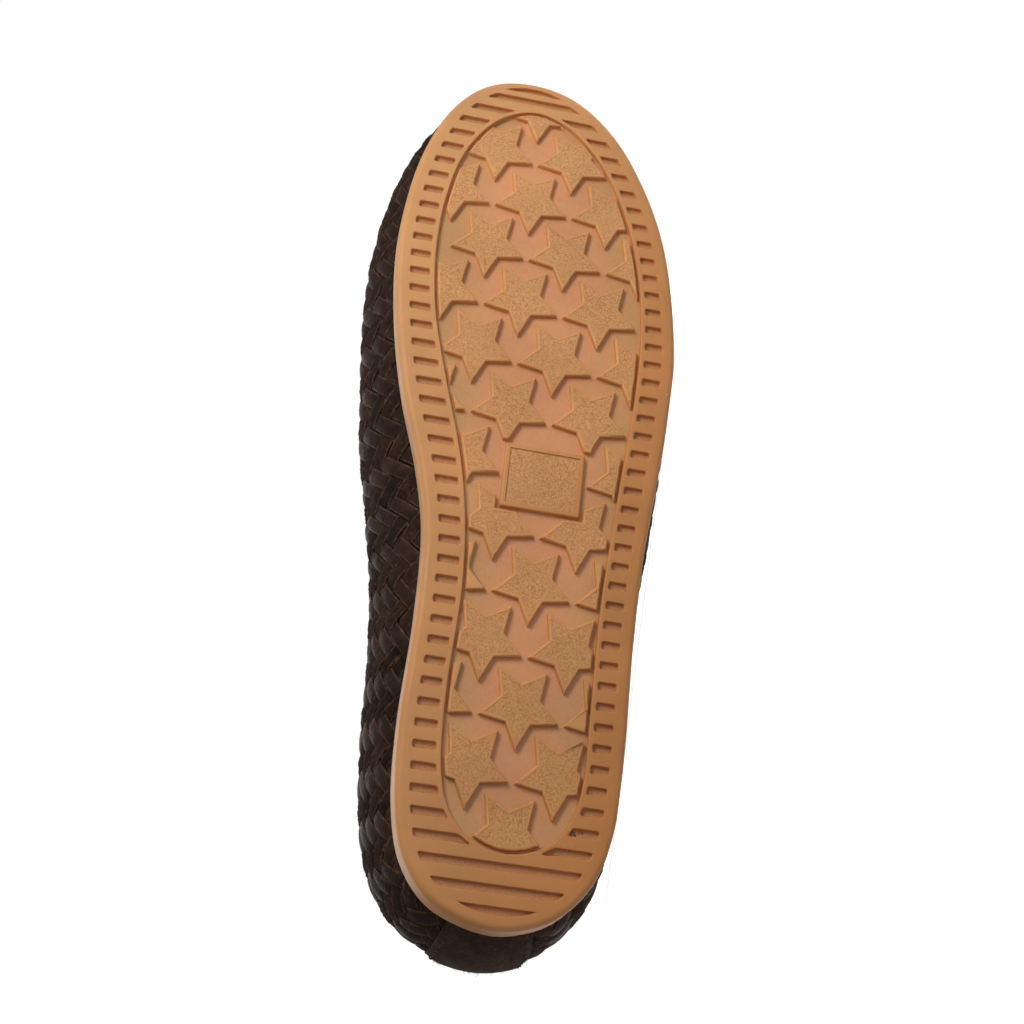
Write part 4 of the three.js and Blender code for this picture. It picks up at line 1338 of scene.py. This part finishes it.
def collar_stitches():
    """Stitches along the collar band, below the roll and above the woven band, and down its front ends."""
    columns = np.linspace(-FRONT_OF_COLLAR + 1, FRONT_OF_COLLAR - 1, 900)
    paths = stitch_paths(columns, 1.085, 1.28)
    paths += stitch_paths(columns, row_below(columns, 4.2), 1.3)
    for side in (-1, 1):
        paths += stitch_paths(side * (FRONT_OF_COLLAR - 0.75), np.linspace(1.1, 1.84, 200), 1.3)
    fit_up(tubes("collar_stitches", paths, STITCH_RADIUS), "suede", THREAD)


def heel_strip():
    """Suede strip up the back with a stitched seam along each edge."""
    reach = HEEL_STRIP_HALF / COLUMN_MM

    def skived(column, row):
        return 1.85 - 0.95 * smooth(0.7, 1, np.abs(column) / reach)

    strip = laid_grid("heel_patch", (-reach, reach), HEEL_STRIP_ROWS, (30, 44), skived)
    thicken(strip, HEEL_STRIP_THICK)
    edge = {"limit_method": "ANGLE", "angle_limit": SHARP_TURN, "use_clamp_overlap": False}
    modify(strip, "BEVEL", width=HEEL_STRIP_ROUND / 1000, segments=3, **edge)
    fit_up(strip, "suede", SUEDE, "heel_strip")
    luck = np.random.RandomState(7)
    column, row = luck.uniform(-reach, reach, HEEL_HAIRS), luck.uniform(0.04, 0.94, HEEL_HAIRS)
    height = skived(column, row)
    root = on_skin(column, row, height)
    fibre_roots.extend(zip(root, on_skin(column, row, height + 1) - root))
    seam = reach - 0.55
    paths = []
    for side in (-1, 1):
        paths += stitch_paths(side * seam, np.linspace(0.05, 0.94, 300), skived(seam, 0) + 0.1)
    fit_up(tubes("heel_stitches", paths, STITCH_RADIUS), "suede", THREAD)


def footbed():
    """Leather footbed on the sole, its upper edge rounded."""
    loop, out = edge_loop(SOLE_EDGE, SOLE_ENDS, 200)
    top = GAP + INSOLE_THICK
    edge = ((0, GAP), (0, top - 0.8), (0.25, top - 0.25), (0.9, top))
    rings = [level_ring(loop - out * (INSOLE_INSET + inset), height) for inset, height in edge]
    bed = stack_rings("footbed", rings)
    slice_across(bed)
    places = places_of(bed)
    places[:, 2] += sole_top(places[:, 0])
    set_places(bed, lay(places))
    fit_up(bed, "lining", FOOTBED, "insole", shade=40)


def tongue():
    """Tongue from its solid, its front edge drawn under the apron and its skin softened."""
    leather = copy_of(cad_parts["tongue"])
    leather.name = "tongue_leather"
    leather.data.materials.clear()
    leather.parent = None
    for key in list(leather.keys()):
        del leather[key]
    turns = {"face_threshold": math.radians(60), "shape_threshold": math.radians(80)}
    edit_whole(leather, merge_near(SHEET_MERGE), (bpy.ops.mesh.tris_convert_to_quads, turns))
    u, v, w = shoe_places([vert.co for vert in leather.data.vertices]).T
    back, middle, half = TONGUE_NOTCH
    ahead = np.where((u > back) & (np.abs(v - middle) < half), TONGUE_FRONT - u, 0)
    narrowed = v - (v - middle) * TONGUE_TAPER * ahead
    set_places(leather, lay(np.stack([u + ahead, narrowed, w - TONGUE_SLOPE * ahead], -1)))
    modify(leather, "SUBSURF", levels=3, render_levels=3)
    fit_up(leather, "suede", SUEDE, "tongue", shade=80)


def eyelet_places():
    """Column, row and name of each eyelet."""
    places = {}
    for level, (at, below) in EYELETS.items():
        for side, column in (("inner", at * HEEL_TO_TOE), ("outer", COLUMNS - at * HEEL_TO_TOE)):
            places[level, side] = (column, float(row_below(column, below)))
    return places


def eyelets():
    """Turned brass eyelets, each with a flange on the collar and a barrel through the wall."""
    turn = np.linspace(0, 2 * math.pi, 36, endpoint=False)[:, None]
    for (level, side), (column, row) in eyelet_places().items():
        seat, outward = on_skin(column, row), out_at(column, row)
        across = np.cross(outward, (0, 0, 1))
        across /= np.linalg.norm(across)
        circle = np.cos(turn) * across + np.sin(turn) * np.cross(outward, across)
        rings = [lay(seat + circle * radius + outward * height) for radius, height in EYELET_SECTION]
        ring = stack_rings(f"brass_eyelet_{level}_{side}", rings, capped=False)
        fit_up(ring, "brass", BRASS, f"eyelet_{level}_{side}", shade=50)


def lace_piece(name, control, fine, steps, across):
    """A flat lace through control points."""
    path = spread(on_curve(control, np.linspace(0, 1, fine), False), steps)
    return stack_rings(name, tube_rings(path, LACE_RADIUS, 16, across, LACE_FLAT, LACE_SQUARE))


def hidden_run(places, side):
    """The lace inside the wall, from a lower eyelet round the tongue's edge to its end at the upper one."""
    (low, low_row), (high, high_row) = places["lower", side], places["upper", side]
    steps = [(0, low_row, -1.6), (0.05, low_row, -3.0)]
    for share in (0.25, 0.5, 0.75):
        steps.append((share, float(row_below(low + share * (high - low), RUN_BELOW)), RUN_OUTSET))
    steps += [(0.97, high_row, -3.3), (1, high_row, -2.4)]
    control = [on_skin(low + share * (high - low), row, outset) for share, row, outset in steps]
    return lace_piece("run", control, 120, 48, up_at(low, low_row))


def laces():
    """A lace bar over the throat at each pair of eyelets, with its hidden runs inside the wall."""
    places = eyelet_places()
    for level in EYELETS:
        halves = []
        for side in ("inner", "outer"):
            column, row = places[level, side]
            steps = [(row, -2.4), (row, -1), (row, 1), (row + 0.04, 3.0), (row + 0.13, 3.4)]
            steps += [((row + 2.05) / 2, 3.25), (1.995, 3.0)]
            halves.append([on_skin(column, step_row, outset) for step_row, outset in steps])
        middle = (halves[0][-1] + halves[1][-1]) / 2 + np.array([0, 0, 0.3])
        control = halves[0] + [middle] + halves[1][::-1]
        lace = lace_piece(f"leather_lace_{level}", control, 200, 90, (1, 0, 0))
        if level == "lower":
            runs = [hidden_run(places, side) for side in ("inner", "outer")]
            lace = joined([lace] + runs, lace.name)
        fit_up(lace, "lace", LACE, f"lace_{level}")


# Floor, light and camera

def floor_and_light():
    """A white floor, a white sky that lights only a little, and three lamps."""
    deselect()
    bpy.ops.mesh.primitive_plane_add(size=6)
    floor = bpy.context.object
    floor.name = "floor"
    paint = Finish("pale floor", 0.9)
    tone = paint.ramp(paint.noise(3, 3), (0.3, 0.86), (0.7, 0.9))
    floor.data.materials.append(paint.wear(tone, Emission_Color=(1, 1, 1, 1), Emission_Strength=0.8))
    floor.visible_diffuse = False
    world = bpy.data.worlds.new("studio")
    bpy.context.scene.world = world
    world.use_nodes = True
    nodes, links = world.node_tree.nodes, world.node_tree.links
    seen = nodes.new("ShaderNodeBackground")
    for sky, strength in ((nodes["Background"], SKY_LIGHT), (seen, SKY_SEEN)):
        sky.inputs["Color"].default_value = (1, 1, 1, 1)
        sky.inputs["Strength"].default_value = strength
    path = nodes.new("ShaderNodeLightPath")
    both = nodes.new("ShaderNodeMixShader")
    links.new(path.outputs["Is Camera Ray"], both.inputs[0])
    links.new(nodes["Background"].outputs[0], both.inputs[1])
    links.new(seen.outputs[0], both.inputs[2])
    links.new(both.outputs[0], nodes["World Output"].inputs[0])
    for name, place, size, power in LAMPS:
        lamp = bpy.data.lights.new(name, "AREA")
        lamp.shape = "RECTANGLE"
        lamp.size, lamp.size_y = size
        lamp.energy = power
        holder = bpy.data.objects.new(name, lamp)
        bpy.context.collection.objects.link(holder)
        holder.location = place
        holder.rotation_euler = (LAMP_AIM - Vector(place)).to_track_quat("-Z", "Y").to_euler()


def photo_camera():
    """Camera at the photograph's angle to the shoe, rolled and kept above the floor."""
    lens = bpy.data.cameras.new("camera")
    lens.sensor_fit = "HORIZONTAL"
    lens.angle = PHOTO_VIEW
    lens.clip_start = 0.01
    camera = bpy.data.objects.new("camera", lens)
    bpy.context.collection.objects.link(camera)
    ahead = (Vector(CAMERA_AIM) - Vector(CAMERA_AT)).normalized()
    right = ahead.cross(Vector(CAMERA_TOP)).normalized()
    top = right.cross(ahead)
    turned_right = right * math.cos(CAMERA_ROLL) + top * math.sin(CAMERA_ROLL)
    turned_top = top * math.cos(CAMERA_ROLL) - right * math.sin(CAMERA_ROLL)
    matrix = camera.matrix_world.to_3x3()
    matrix.col[0] = turned_right
    matrix.col[1] = turned_top
    matrix.col[2] = -ahead
    camera.location = CAMERA_AT
    camera.rotation_euler = matrix.to_euler()
    bpy.context.scene.camera = camera


photo_camera()
floor_and_light()
bpy.context.scene.view_settings.view_transform = "Standard"
outsole()
woven_strips("strips_rising", True, CALF, 5, 0.006, 0.012, 0)
woven_strips("strips_falling", False, NUBUCK, 9, 0.035, 0.085, 18)
lining()
apron()
collar()
binding()
moc_seam()
collar_stitches()
heel_strip()
loose_fibres()
footbed()
tongue()
eyelets()
laces()
